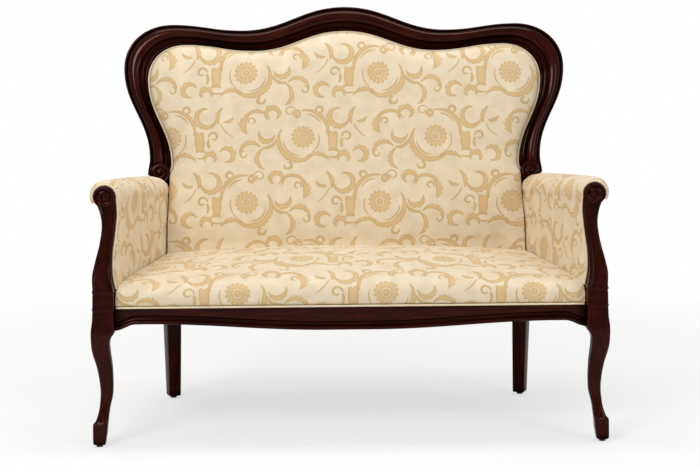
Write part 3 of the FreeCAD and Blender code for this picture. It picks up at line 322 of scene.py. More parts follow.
mahogany = polished_mahogany()
tilt_up = Vector((0, math.sin(RAKE), math.cos(RAKE)))
tilt_facing = Vector((0, -math.cos(RAKE), math.sin(RAKE)))
for side, name in ((1, "rear_leg_right"), (-1, "rear_leg_left")):
    foot = [turned_square(FOOT_X, FOOT_Y, GLIDE_TOP, 14.2, FOOT_TURN, 2.5),
            turned_square(FOOT_X, FOOT_Y, FOOT_BEVEL_TOP, 16.2, FOOT_TURN, 3)]
    for share in [i / 12 for i in range(1, 13)]:
        x, z = between(FOOT_X, 476.0, share), between(FOOT_BEVEL_TOP, 286.0, share)
        y = between(FOOT_Y, back_y(272.0, BACK_MARK_FORWARD), share)
        foot.append(turned_square(x, y, z, between(16.2, 21.0, share), FOOT_TURN, 3))
    bevels = ((272, 1.5), (273.5, 0), (334.5, 0), (RAIL_TOP, 1.5))
    block = [raked_level(z, 452 + d, 512 - d, 40 - d) for z, d in bevels]
    post = [raked_level(334, 454, 510, 28), raked_level(449, 469.4, 518, 28), raked_level(619, 481, 535, 28)]
    stile = [moulding(between(CREST_JOINT, STILE_FOOT, i / 70)) for i in range(71)]
    scroll = carved_scroll(on_back(508, 619, 0), Vector((1, 0, 0)), tilt_up, tilt_facing, 28.0, 38.0, 1.2)
    shells = [shell(rows) for rows in (foot, block, post, stile)] + [scroll]
    fit(build(name, shells, side), mahogany, "mahogany", name)

# Crest rail. Three pieces of mahogany were usual; here it reads as one, a serpentine with a hump over
# the middle and two ears, moulded to match the stiles and doweled to them.
crest = [moulding(between(-CREST_JOINT, CREST_JOINT, i / 200)) for i in range(201)]
fit(build("crest_rail", [shell(crest)]), mahogany, "mahogany", "crest_rail")

# Front legs. Cabriole legs sawn from a square blank in two views and rounded by hand, with a lip over
# the toe and a square block at the top that takes the rails.
LEG_X, LEG_Y, LEG_TOP = 599, -302, 384
# (height, distance from the leg's centre) outwards and inwards, then (height, power of the square)
LEG_OUT = [(6, 28.5), (8, 31), (30, 31.4), (54, 31), (56.5, 30.4), (58.5, 27), (75, 20.6), (93, 16.3),
           (128, 13.3), (162, 15.4), (196, 20.5), (233, 29.2), (262, 31.4), (289, 30.4), (308, 27.5),
           (336, 26), (384, 24.5)]
LEG_IN = [(6, 2.2), (31, -2.3), (56, -4.8), (92, -9.4), (128, -17), (189, -17.9), (235, -14.2), (256, -13.6),
          (268, -17), (280, -25.4), (290, -26), (384, -26)]
LEG_SQUARE = [(6, 7), (50, 6), (60, 4.5), (128, 3.2), (200, 3.6), (262, 5), (290, 9), (384, 12)]


def curve(knots, at):
    """Smooth value at one place on a run of (place, value) knots."""
    at = min(max(at, knots[0][0]), knots[-1][0])
    i = next(k for k in range(len(knots) - 1) if at <= knots[k + 1][0])

    def slope(k):
        a, b = knots[max(k - 1, 0)], knots[min(k + 1, len(knots) - 1)]
        return (b[1] - a[1]) / (b[0] - a[0])

    (a, first), (b, last) = knots[i], knots[i + 1]
    run, t = b - a, (at - a) / (b - a)
    return ((2 * t**3 - 3 * t * t + 1) * first + (t**3 - 2 * t * t + t) * run * slope(i)
            + (3 * t * t - 2 * t**3) * last + (t**3 - t * t) * run * slope(i + 1))


def soft_square(cx, cy, z, half, power):
    """Level loop between a circle and a square."""
    loop = []
    for j in range(64):
        angle = 2 * math.pi * (j + 0.5) / 64
        c, s = math.cos(angle), math.sin(angle)
        reach = half / (abs(c) ** power + abs(s) ** power) ** (1 / power)
        loop.append(metres(cx + reach * c, cy + reach * s, z))
    return loop


def ridge(z, place, spread):
    """How much of a rounded ridge is left at z, a little away from its place."""
    return math.exp(-((z - place) / spread) ** 2)


# Closer together at the toe, at the knee and at the two collars of the block
leg_heights = [6, 7, 8, 12] + [20 + 8 * i for i in range(5)] + [54, 55.5, 56.5, 57.2, 58, 58.8, 60, 63]
leg_heights += [68 + 6 * i for i in range(32)] + [257 + 3 * i for i in range(17)]
leg_heights += [308 + 4 * i for i in range(6)] + [331, 333, 334, 335, 336.5, 338, 340, 341, 342, 344]
leg_heights += [350, 360, 370, 374, 376, 377, 378.5, 380, 381.5, 383, LEG_TOP]
for side, name in ((1, "front_leg_right"), (-1, "front_leg_left")):
    rows = []
    for z in leg_heights:
        far, near = curve(LEG_OUT, z), curve(LEG_IN, z)
        collar = 0.9 * ridge(z, 338, 3.0) + 1.2 * ridge(z, 380.5, 3.4)
        neck = 0.7 * ridge(z, 333.0, 2.0) + 0.8 * ridge(z, 375.0, 2.2)
        middle, half = (far + near) / 2, (far - near) / 2 + collar - neck
        rows.append(soft_square(LEG_X + middle, LEG_Y - middle, z, half, curve(LEG_SQUARE, z)))
    fit(build(name, [shell(rows)], side), mahogany, "mahogany", name)

# Seat rails. The front rail's lower edge is a shallow serpentine with a cove and a bead worked on it;
# the side rails carry the same section. All are tenoned into the legs.
FRONT_RAIL_Y, FRONT_RAIL_HALF = -304.0, 573.0
APRON_MIDDLE, APRON_SIDE, BRACKET_DROP, BRACKET_RUN = 280, 298, 15, 50
SIDE_RAIL_LOW = 288.0
RAIL_THICK = 28


def ease(share):
    """Nought to one, slow at both ends."""
    share = min(max(share, 0.0), 1.0)
    return 0.5 - 0.5 * math.cos(math.pi * share)


def rail_section(place, low):
    """Rail with its face at nought, coved and beaded at the lower edge."""
    section = [(RAIL_THICK, RAIL_TOP), (1, RAIL_TOP), (0, RAIL_TOP - 1), (0, low + 22)]
    section += arc((0, low + 22), (4, low + 16), (1.6, low + 10.6), 8) + [(2.6, low + 10)]
    section += arc((1.2, low + 10), (-4, low + 5), (0, low), 8) + [(RAIL_THICK, low)]
    return [place(depth, z) for depth, z in section]


front_rows = []
for i in range(161):
    x = between(-FRONT_RAIL_HALF, FRONT_RAIL_HALF, i / 160)
    rise = ease((abs(x) - 60) / 440)
    bracket = 1 - ease((FRONT_RAIL_HALF - abs(x)) / BRACKET_RUN)
    low = between(APRON_MIDDLE, APRON_SIDE, rise) - BRACKET_DROP * bracket
    front_rows.append(rail_section(lambda depth, z: metres(x, FRONT_RAIL_Y + depth, z), low))
fit(build("front_seat_rail", [shell(front_rows)]), mahogany, "mahogany", "front_seat_rail")

side_start, side_end = (616.0, -276.0), (510.0, back_y(RAIL_TOP, 40))
lean = math.hypot(side_end[0] - side_start[0], side_end[1] - side_start[1])
inward = (-(side_end[1] - side_start[1]) / lean, (side_end[0] - side_start[0]) / lean)
for side, name in ((1, "side_seat_rail_right"), (-1, "side_seat_rail_left")):
    rows = []
    for i in range(21):
        x, y = between(side_start[0], side_end[0], i / 20), between(side_start[1], side_end[1], i / 20)
        rows.append(rail_section(lambda depth, z: metres(x + inward[0] * depth, y + inward[1] * depth, z),
                                 SIDE_RAIL_LOW))
    fit(build(name, [shell(rows)], side), mahogany, "mahogany", name)

# Arm posts. Each is sawn to an S, hollowed between two raised edges and scrolled at the head, and
# stands doweled on the leg's block.
KNUCKLE_X, KNUCKLE_Y, KNUCKLE_Z = 592, -264, 608
# (share of the height, distance from the leg's centre)
POST_OUTER = [(0, 24), (0.15, 25.3), (0.3, 18.5), (0.49, 7.4), (0.68, 1.0), (0.81, 3.6), (0.94, 13), (1, 19)]
POST_INNER = [(0, -26), (0.1, -21.5), (0.2, -19.8), (0.39, -21.5), (0.6, -29.3), (0.82, -35), (0.9, -35),
              (1, -31)]
for side, name in ((1, "arm_post_right"), (-1, "arm_post_left")):
    rows = []
    for i in range(61):
        share = i / 60
        z = between(LEG_TOP, KNUCKLE_Z, share)
        inner, outer = LEG_X + curve(POST_INNER, share), LEG_X + curve(POST_OUTER, share)
        lower = min(share / 0.6, 1)
        front = between(-326, -302, lower) + 4 * math.sin(math.pi * lower)
        rear = between(-280, KNUCKLE_Y, share)
        wide = outer - inner
        row = [(inner, rear), (inner, between(rear, front, 0.5)), (inner, front + 4)]
        for j in range(25):
            s = wide * j / 24
            rim = 2.4 * (ridge(s, 5, 2.4) + ridge(wide - 5, s, 2.4))
            edge = 3.4 * (ridge(s, 0, 1.5) + ridge(wide, s, 1.5))
            row.append((inner + s, front - rim + edge + 0.8))
        row += [(outer, front + 4), (outer, between(rear, front, 0.5)), (outer, rear)]
        rows.append([metres(x, y, z) for x, y in row])
    head = carved_scroll(metres(KNUCKLE_X, KNUCKLE_Y, KNUCKLE_Z), Vector((1, 0, 0)), Vector((0, 0, 1)),
                         Vector((0, -1, 0)), 26.5, 38.0, 3.6, -1)
    fit(build(name, [shell(rows), head], side), mahogany, "mahogany", name)

# Hidden frame. Plain planed beech under the upholstery: rails tenoned into the legs, a cross brace,
# glued corner blocks, and the dowels that hold the crest rail and the arm posts.
def planed_beech():
    material, tree, shader = fresh("beech")
    place = add(tree, "ShaderNodeTexCoord").outputs["Object"]
    grain = add(tree, "ShaderNodeMapping", {"Vector": place, "Scale": (6.0, 60.0, 60.0)}).outputs[0]
    figure = noisy(tree, grain, 2.0, 5.0)
    colour = shades(tree, figure, (0.3, (0.42, 0.25, 0.12)), (0.7, (0.58, 0.38, 0.21)))
    tree.links.new(colour, shader.inputs["Base Color"])
    shader.inputs["Roughness"].default_value = 0.6
    relief(tree, shader, figure, 0.2, 0.0004)
    return material


def finish_nodes(material, slot, *names):
    """Give hidden construction pieces their finish."""
    for name in names:
        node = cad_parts[name]
        node.material_slots[0].material = material


beech = planed_beech()
finish_nodes(beech, "beech", "back_seat_rail", "lower_back_rail", "seat_cross_brace", "corner_blocks",
             "arm_rail_right", "arm_rail_left", "lower_arm_rail_right", "lower_arm_rail_left",
             "crest_dowels", "arm_post_dowels")


# Webbing, hessian and dust cover. Jute webbing is strained over the rails, hessian is tacked over it,
# and a black cloth closes the underside. Each is a plain weave of its own thread.
def plain_weave(name, pale, dark, thread, rough):
    """Cloth or strap of one colour; thread is the width of a thread in metres."""
    material, tree, shader = fresh(name)
    place = add(tree, "ShaderNodeTexCoord").outputs["Object"]
    waves = []
    for axis in ("X", "Y", "Z"):
        wave = add(tree, "ShaderNodeTexWave", {"Vector": place, "Scale": 0.3 / thread, "Distortion": 0.6},
                   bands_direction=axis)
        waves.append(wave.outputs["Fac"])
    weave = calc(tree, "MAXIMUM", calc(tree, "MAXIMUM", waves[0], waves[1]), waves[2])
    colour = shades(tree, weave, (0.3, dark), (0.9, pale))
    tree.links.new(colour, shader.inputs["Base Color"])
    shader.inputs["Roughness"].default_value = rough
    relief(tree, shader, weave, 0.5, thread)
    return material


jute = plain_weave("webbing", (0.50, 0.39, 0.24), (0.30, 0.22, 0.12), 0.002, 0.85)
hessian = plain_weave("hessian", (0.46, 0.34, 0.20), (0.22, 0.15, 0.08), 0.0015, 0.9)
black_cloth = plain_weave("black_cloth", (0.022, 0.022, 0.024), (0.008, 0.008, 0.009), 0.001, 0.9)
finish_nodes(jute, "webbing", "seat_webbing_front_to_back", "seat_webbing_side_to_side",
             "back_webbing_upright", "back_webbing_side_to_side")
finish_nodes(hessian, "hessian", "seat_hessian", "back_hessian")
finish_nodes(black_cloth, "black_cloth", "dust_cover")


# Damask. A cream satin ground with a gold figure of traditional scrolling leaves, rosettes and torch
# buds. The figure repeats every 361 mm across and 355 mm down, and each half drop is mirrored.
REPEAT_WIDE = 0.361
REPEAT_TALL = 0.355
MIRROR_AT = 0.077


def squared(tree, value):
    return calc(tree, "MULTIPLY", value, value)


def length(tree, x, y):
    """Length of the arrow (x, y)."""
    return calc(tree, "SQRT", calc(tree, "ADD", squared(tree, x), squared(tree, y)))


def leaf_group():
    """Shader group: how far inside a spiral leaf a point lies, in metres, below nought outside it.

    The leaf follows a spiral whose radius grows with the angle. It is widest along the middle and its
    outer edge is cut into lobes.
    """
    tree = bpy.data.node_groups.new("spiral leaf", "ShaderNodeTree")
    names = ("X", "Y", "Centre X", "Centre Y", "Start", "Hand", "Radius", "Growth", "Sweep", "Wide first",
             "Wide last", "Belly", "Notch")
    for name in names:
        tree.interface.new_socket(name, in_out="INPUT", socket_type="NodeSocketFloat")
    tree.interface.new_socket("Inside", in_out="OUTPUT", socket_type="NodeSocketFloat")
    given = add(tree, "NodeGroupInput").outputs
    dx = calc(tree, "SUBTRACT", given["X"], given["Centre X"])
    dy = calc(tree, "SUBTRACT", given["Y"], given["Centre Y"])
    reach = length(tree, dx, dy)
    angle = calc(tree, "MULTIPLY", calc(tree, "SUBTRACT", calc(tree, "ARCTAN2", dy, dx), given["Start"]),
                 given["Hand"])
    angle = calc(tree, "FLOORED_MODULO", angle, 2 * math.pi)
    line = calc(tree, "MULTIPLY_ADD", angle, given["Growth"], given["Radius"])
    turn = calc(tree, "DIVIDE", calc(tree, "SUBTRACT", reach, line),
                calc(tree, "MULTIPLY", given["Growth"], 2 * math.pi))
    again = calc(tree, "LESS_THAN", calc(tree, "ADD", angle, 2 * math.pi), given["Sweep"])
    turn = calc(tree, "MINIMUM", calc(tree, "MAXIMUM", calc(tree, "ROUND", turn), 0.0), again)
    angle = calc(tree, "MULTIPLY_ADD", turn, 2 * math.pi, angle)
    line = calc(tree, "MULTIPLY_ADD", angle, given["Growth"], given["Radius"])
    off = calc(tree, "SUBTRACT", reach, line)
    share = calc(tree, "DIVIDE", angle, given["Sweep"])
    wide = calc(tree, "MULTIPLY_ADD", share, calc(tree, "SUBTRACT", given["Wide last"], given["Wide first"]),
                given["Wide first"])
    belly = calc(tree, "MULTIPLY", calc(tree, "SINE", calc(tree, "MULTIPLY", share, math.pi)),
                 given["Belly"])
    along = calc(tree, "MULTIPLY", angle, line)
    lobe = calc(tree, "FRACT", calc(tree, "MULTIPLY_ADD", off, 60.0, calc(tree, "MULTIPLY", along, 90.0)))
    lobe = calc(tree, "SUBTRACT", 1.0, calc(tree, "MULTIPLY", given["Notch"], lobe))
    outer = calc(tree, "MULTIPLY_ADD", calc(tree, "MULTIPLY", belly, 1.95), lobe, wide)
    inner = calc(tree, "MULTIPLY_ADD", belly, 0.6, wide)
    past = calc(tree, "MAXIMUM", calc(tree, "SUBTRACT", angle, given["Sweep"]), 0.0)
    past = calc(tree, "MULTIPLY", past, line)
    inside = calc(tree, "MINIMUM", calc(tree, "SUBTRACT", outer, off), calc(tree, "ADD", inner, off))
    inside = calc(tree, "SUBTRACT", inside, past)
    add(tree, "NodeGroupOutput", {"Inside": inside})
    return tree


# The leaves and stems of one repeat, in the order of the group's inputs: centre across and up, start
# angle, hand, radius, growth per radian, sweep, half width at the first and last end, belly, notch
LEAVES = [
    (-0.009, -0.005, 2.62, 1, 0.055, 0.0005, 2.9, 0.0016, 0.0014, 0.0062, 0.35),
    (-0.009, -0.005, 3.30, 1, 0.045, 0.0005, 1.4, 0.0012, 0.0010, 0.0012, 0.00),
    (0.040, -0.100, 2.16, -1, 0.055, -0.0060, 1.3, 0.0018, 0.0008, 0.0050, 0.55),
    (0.000, -0.005, 0.35, -1, 0.043, 0.0005, 1.3, 0.0013, 0.0011, 0.0006, 0.00),
    (0.006, 0.013, 1.75, -1, 0.060, 0.0005, 1.85, 0.0014, 0.0034, 0.0030, 0.25),
    (0.006, 0.013, 1.45, -1, 0.050, 0.0005, 0.9, 0.0012, 0.0010, 0.0012, 0.00),
    (-0.045, -0.010, -0.21, 1, 0.120, 0.0001, 0.42, 0.0014, 0.0034, 0.0095, 0.22),
    (0.207, -0.010, 2.93, 1, 0.120, 0.0001, 0.42, 0.0034, 0.0014, 0.0072, 0.22),
    (0.081, -0.076, 1.90, -1, 0.040, 0.0001, 0.66, 0.0030, 0.0030, 0.0006, 0.00),
    (0.081, -0.010, -1.25, -1, 0.046, 0.0001, 0.60, 0.0018, 0.0012, 0.0010, 0.00),
    (0.110, -0.060, 3.50, -1, 0.016, -0.0012, 4.2, 0.0016, 0.0012, 0.0060, 0.50),
    (0.119, 0.002, 3.14, -1, 0.013, -0.0012, 5.6, 0.0026, 0.0014, 0.0010, 0.00),
    (0.164, -0.014, 3.40, -1, 0.059, 0.0001, 0.45, 0.0022, 0.0022, 0.0016, 0.00),
    (-0.014, 0.064, 0.00, 1, 0.006, 0.0002, 6.2, 0.0024, 0.0024, 0.0034, 0.60),
    (-0.035, 0.072, -0.50, 1, 0.015, -0.0013, 7.2, 0.0017, 0.0011, 0.0005, 0.00),
    (-0.123, 0.031, 0.50, 1, 0.039, 0.0003, 2.7, 0.0014, 0.0014, 0.0032, 0.30),
    (-0.123, 0.031, 2.30, 1, 0.036, 0.0003, 1.5, 0.0012, 0.0008, 0.0088, 0.62),
    (-0.138, 0.044, 3.60, -1, 0.010, -0.0009, 5.4, 0.0018, 0.0014, 0.0010, 0.00),
    (-0.097, 0.013, 2.97, 1, 0.021, 0.0006, 3.0, 0.0014, 0.0012, 0.0054, 0.40),
    (-0.080, 0.062, 3.90, -1, 0.021, -0.0018, 4.9, 0.0018, 0.0016, 0.0052, 0.45),
    (-0.140, -0.048, 0.70, 1, 0.033, -0.0006, 2.4, 0.0016, 0.0010, 0.0052, 0.55),
    (-0.160, -0.046, 1.60, 1, 0.010, -0.0008, 5.0, 0.0018, 0.0014, 0.0008, 0.00),
    (-0.090, -0.060, 2.10, 1, 0.034, -0.0010, 2.2, 0.0016, 0.0010, 0.0050, 0.50),
    (-0.105, 0.008, -1.70, 1, 0.036, 0.0004, 1.3, 0.0020, 0.0014, 0.0026, 0.20),
    (-0.040, -0.076, 2.90, 1, 0.011, -0.0009, 5.0, 0.0018, 0.0012, 0.0022, 0.30),
    (0.099, 0.056, 1.40, 1, 0.023, 0.0008, 4.6, 0.0014, 0.0022, 0.0056, 0.45),
    (0.175, 0.049, 3.40, -1, 0.045, 0.0003, 1.1, 0.0024, 0.0012, 0.0040, 0.45),
    (0.046, 0.074, 3.30, -1, 0.010, -0.0009, 5.0, 0.0020, 0.0012, 0.0016, 0.00),
    (0.150, 0.072, -1.75, 1, 0.028, 0.0003, 1.2, 0.0014, 0.0008, 0.0036, 0.50),
    (0.200, 0.060, 3.50, 1, 0.066, 0.0003, 0.75, 0.0016, 0.0012, 0.0004, 0.00),
    (0.152, -0.050, 2.60, -1, 0.020, -0.0010, 4.4, 0.0016, 0.0012, 0.0060, 0.50),
]


def damask_group():
    """Shader group: the woven figure over cloth coordinates in metres."""
    leaf = leaf_group()
    tree = bpy.data.node_groups.new("damask figure", "ShaderNodeTree")
    for name in ("U", "V"):
        tree.interface.new_socket(name, in_out="INPUT", socket_type="NodeSocketFloat")
    for name in ("Figure", "Depth"):
        tree.interface.new_socket(name, in_out="OUTPUT", socket_type="NodeSocketFloat")
    given = add(tree, "NodeGroupInput").outputs
    edge_blur, shaded_depth = 0.0004, 0.005
    petals, petal_length, flower_radius, ring_radius = 14, 0.0060, 0.0255, 0.0105
    band = calc(tree, "ROUND", calc(tree, "DIVIDE", given["V"], REPEAT_TALL / 2))
    y = calc(tree, "SUBTRACT", given["V"], calc(tree, "MULTIPLY", band, REPEAT_TALL / 2))
    odd = calc(tree, "FLOORED_MODULO", band, 2.0)
    sign = calc(tree, "MULTIPLY_ADD", odd, 2.0, -1.0)
    x = calc(tree, "MULTIPLY", calc(tree, "SUBTRACT", given["U"], MIRROR_AT), sign)
    x = calc(tree, "SUBTRACT", x, MIRROR_AT)
    x = calc(tree, "FLOORED_MODULO", calc(tree, "ADD", x, REPEAT_WIDE / 2), REPEAT_WIDE)
    x = calc(tree, "SUBTRACT", x, REPEAT_WIDE / 2)
    best = None
    for values in LEAVES:
        use = add(tree, "ShaderNodeGroup", node_tree=leaf)
        tree.links.new(x, use.inputs[0])
        tree.links.new(y, use.inputs[1])
        for index, value in enumerate(values):
            use.inputs[index + 2].default_value = value
        best = use.outputs[0] if best is None else calc(tree, "MAXIMUM", best, use.outputs[0])
    reach = length(tree, x, y)
    angle = calc(tree, "ARCTAN2", y, x)
    petal = calc(tree, "ABSOLUTE", calc(tree, "SINE", calc(tree, "MULTIPLY", angle, petals / 2)))
    rim = calc(tree, "MULTIPLY_ADD", petal, petal_length, flower_radius)
    flower = calc(tree, "SUBTRACT", rim, reach)
    hollow = calc(tree, "ABSOLUTE", calc(tree, "SUBTRACT", reach, ring_radius))
    hollow = calc(tree, "SUBTRACT", hollow, 0.0012)
    gaps = calc(tree, "MULTIPLY", calc(tree, "SUBTRACT", petal, 0.17), 0.012)
    near = calc(tree, "MULTIPLY", calc(tree, "LESS_THAN", reach, 0.0125), 0.01)
    flower = calc(tree, "MINIMUM", flower, calc(tree, "MINIMUM", hollow, calc(tree, "ADD", gaps, near)))
    best = calc(tree, "MAXIMUM", best, flower)
    figure = add(tree, "ShaderNodeMapRange", {"Value": best, "From Min": -edge_blur,
                                              "From Max": 2 * edge_blur}).outputs[0]
    depth = add(tree, "ShaderNodeMapRange", {"Value": best, "From Min": 0.0,
                                             "From Max": shaded_depth}).outputs[0]
    add(tree, "NodeGroupOutput", {"Figure": figure, "Depth": depth})
    return tree


figure_group = damask_group()


def damask(name, u_shift, v_shift, painted_light_gain=1.0):
    """Damask for one piece, its figure shifted over the cloth's own coordinates in metres. Its colours are
    scaled by a gain of painted light.
    """
    # Painted light: the cloth's cream and gold scaled brighter for this piece
    def with_painted_light(*colour):
        return tuple(painted_light_gain * c for c in colour)

    material, tree, shader = fresh(name)
    place = add(tree, "ShaderNodeUVMap", uv_map="cloth").outputs[0]
    wander = add(tree, "ShaderNodeTexNoise", {"Vector": place, "Scale": 14.0, "Detail": 1.0}).outputs[1]
    wander = add(tree, "ShaderNodeVectorMath", {0: wander, 1: (0.5, 0.5, 0.5)},
                 operation="SUBTRACT").outputs[0]
    moved = add(tree, "ShaderNodeVectorMath", {0: wander, 1: (0.006, 0.006, 0.0), 2: place},
                operation="MULTIPLY_ADD").outputs[0]
    apart = add(tree, "ShaderNodeSeparateXYZ", {0: moved}).outputs
    use = add(tree, "ShaderNodeGroup", node_tree=figure_group)
    tree.links.new(calc(tree, "SUBTRACT", apart[0], u_shift), use.inputs[0])
    tree.links.new(calc(tree, "SUBTRACT", apart[1], v_shift), use.inputs[1])
    patch = noisy(tree, place, 26.0, 3.0)
    tone = calc(tree, "MULTIPLY_ADD", patch, 0.5, calc(tree, "MULTIPLY", use.outputs["Depth"], 0.5))
    gold = shades(tree, tone, (0.2, with_painted_light(0.49, 0.32, 0.145)), (0.75, with_painted_light(0.63, 0.435, 0.215)))
    cream = shades(tree, patch, (0.3, with_painted_light(0.655, 0.53, 0.365)), (0.7, with_painted_light(0.735, 0.62, 0.45)))
    tree.links.new(mixed(tree, use.outputs["Figure"], cream, gold), shader.inputs["Base Color"])
    rough = calc(tree, "MULTIPLY_ADD", use.outputs["Figure"], 0.14, 0.56)
    tree.links.new(rough, shader.inputs["Roughness"])
    shader.inputs["Sheen Weight"].default_value = 0.15
    shader.inputs["Specular IOR Level"].default_value = 0.35
    warp, weft = (add(tree, "ShaderNodeTexWave", {"Vector": place, "Scale": 260.0},
                      bands_direction=axis).outputs["Fac"] for axis in "XY")
    weave = add(tree, "ShaderNodeMix", {0: use.outputs["Figure"], 2: warp, 3: weft}).outputs[0]
    relief(tree, shader, calc(tree, "MULTIPLY_ADD", weave, 0.25, use.outputs["Figure"]), 0.35, 0.0006)
    return material


# Seat. A foam pad on webbing and hessian, under damask that is pulled down over the firm front edge. The
# cover is tacked to the front rail behind the piping and tucked down at the back and the arms.
SEAT_FRONT_Y, SEAT_DEPTH, SEAT_EDGE = -301, 424.5, 342.4
SEAT_HALF_FRONT, SEAT_HALF_REAR = 570, 485
# (y, height) over the front edge and back, along the middle and along each side
SEAT_MIDDLE = [(-301, 342.4), (-304, 350), (-305, 362), (-302.5, 376), (-295, 389), (-279, 401), (-255, 412),
               (-215, 423), (-150, 434), (-60, 441), (0, 441.5), (60, 438.5), (123.5, 429), (136, 424)]
SEAT_SIDE = [(-301, 342.4), (-303, 349), (-303.5, 357), (-301, 367), (-294, 377), (-279, 385.5), (-255, 391),
             (-215, 396), (-150, 401), (-60, 405), (0, 406), (60, 408.5), (123.5, 411), (136, 410)]


def soft_noise(x, y, z, scale, seed):
    """Gentle swelling of stuffed cloth, between about -1 and 1."""
    return noise.noise(Vector((x * scale + seed, y * scale, z * scale)))


def along_points(points, count):
    """Smooth points evenly along a run of (y, z) knots, with the distance to each."""
    ys = [(i, p[0]) for i, p in enumerate(points)]
    zs = [(i, p[1]) for i, p in enumerate(points)]
    fine = [(curve(ys, i / 20), curve(zs, i / 20)) for i in range(20 * (len(points) - 1) + 1)]
    reach = [0.0]
    for a, b in zip(fine, fine[1:]):
        reach.append(reach[-1] + math.dist(a, b))
    found, k = [], 0
    for i in range(count):
        at = reach[-1] * i / (count - 1)
        while k < len(reach) - 2 and reach[k + 1] < at:
            k += 1
        share = (at - reach[k]) / (reach[k + 1] - reach[k])
        y, z = between(fine[k][0], fine[k + 1][0], share), between(fine[k][1], fine[k + 1][1], share)
        found.append((y, z, at))
    return found


middle_line, edge_line = along_points(SEAT_MIDDLE, 110), along_points(SEAT_SIDE, 110)
rows, marks = [], []
for (middle_y, middle_z, reach), (edge_y, edge_z, _) in zip(middle_line, edge_line):
    row, uv = [], []
    half = between(SEAT_HALF_FRONT, SEAT_HALF_REAR, (middle_y - SEAT_FRONT_Y) / SEAT_DEPTH)
    for j in range(-91, 92):
        t = j / 90
        if abs(t) > 1:
            x, y, z = math.copysign(half, t), edge_y, SEAT_EDGE
        else:
            swell = 1 - abs(t) ** 2.3
            x, y, z = half * t, between(edge_y, middle_y, swell), between(edge_z, middle_z, swell)
            if z > 366:
                z += 1.6 * soft_noise(x, y, 0, 0.006, 3) + 0.6 * soft_noise(x, y, 0, 0.02, 9)
        row.append(metres(x, y, z))
        uv.append((t * half / 1000, reach / 1000))
    rows.append(row)
    marks.append(uv)
seat = build("seat_cushion", [shell(rows, False, False, marks)], layer="cloth")
fit(seat, damask("damask_seat", 0.0855, 0.03), "damask", "seat_cover", "seat_pad", angle=80)


# Back. One foam pad over the webbing, covered in a single width of damask that is drawn tight to the
# rebate of the frame and tacked there; it domes a little to the middle. A covered board closes the rear.
BACK_MIDDLE, BACK_EDGE, BACK_DOME = 720, 25, 47
FULL_BELOW, FULL_RUN, FULL_FORWARD = 470, 120, 66


def past_sight(at, inset):
    """Point of the front view, set in from the sight line across the frame."""
    ox, oh = key_curve(OUTER, at)
    ix, ih = key_curve(SIGHT, at)
    w = math.hypot(ix - ox, ih - oh)
    return ix + (ix - ox) / w * inset, ih + (ih - oh) / w * inset


def inner_line(inset, foot_half, foot):
    """Outline of the back inside the sight line, up the left, over and down to the foot."""
    line = [past_sight(i / 40, inset) for i in range(-200, 201)]
    last_x, last_h = line[-1]
    down = [(between(last_x, foot_half, i / 30), between(last_h, foot, i / 30)) for i in range(1, 31)]
    across = [(foot_half * (1 - i / 40), foot) for i in range(1, 81)]
    up = [(-x, h) for x, h in reversed(down[:-1])]
    return line + down + across + up


def domed(outline, rings):
    """Surface that rises from an outline to its middle; a ring is (scale, forward).

    Towards the seat the pad stays full, so that the seat meets it.
    """
    rows, marks = [], []
    for scale, forward in rings:
        row, uv = [], []
        for x, h in outline:
            x, h = x * scale, between(BACK_MIDDLE, h, scale)
            lift = 1.2 * soft_noise(x, 0, h, 0.008, 5) * min(1, (1 - scale) * 12)
            if forward > BACK_MARK_FORWARD:
                full = 1 - ease((h - FULL_BELOW) / FULL_RUN)
                lift += full * max(0, FULL_FORWARD - 5 * scale**4 - forward)
            row.append(on_back(x, h, forward + lift))
            uv.append((x / 1000, (h - BACK_MARK) / math.cos(RAKE) / 1000))
        rows.append(row)
        marks.append(uv + uv[:1])
    return shell(rows, True, True, marks)


RINGS = [1, 0.9985, 0.996, 0.992, 0.987, 0.98, 0.972, 0.96, 0.947, 0.93, 0.91, 0.89, 0.865, 0.84, 0.81, 0.77,
         0.72, 0.66, 0.59, 0.51, 0.43, 0.34, 0.25, 0.16, 0.08, 0.02]
rings = [(1, 18.4)] + [(r, BACK_EDGE + BACK_DOME * (1 - r**9) ** (1 / 2.2)) for r in RINGS]
back = build("back_cushion", [domed(inner_line(6.4, 484, 401), rings)], layer="cloth")
fit(back, damask("damask_back", 0.091, 0.2945), "damask", "back_cover", "back_pad", angle=80)

rings = [(1, -0.2)] + [(r, -0.4 - 2.6 * (1 - r**14) ** 0.5) for r in RINGS]
rear_cloth = build("outside_back_panel", [domed(inner_line(-15.5, 464, 287), rings)], layer="cloth")
fit(rear_cloth, damask("damask_outside_back", 0.091, 0.2945), "damask", "outside_back_panel", angle=80)

# Arms. A roll over the arm rail and a thin stuffed slab below it, both under one piece of damask that is
# gathered round the head of the post at the front. A covered board closes the outside.
ARM_FRONT, ARM_REAR, ARM_FOOT = -289, 195.2, 384.4
COVER_THICK, BACK_FACE, GATHERS_FADE = 1.8, 28.6, 30.25
# Front and rear of the arm: the roll's centre and radius, and the inner face above the seat
ROLL_X, ROLL_Z, ROLL_RADIUS, FACE_X = (592, 528), (610, 580), (36, 42), (572, 486.5)
PANEL_LOW, PANEL_X, PANEL_TOP_X = 336.5, (616, 510), (598, 530)


def rail_height(y):
    """Top of the arm rail inside the roll."""
    return between(KNUCKLE_Z, 580, (y - KNUCKLE_Y) / (ARM_REAR - KNUCKLE_Y))


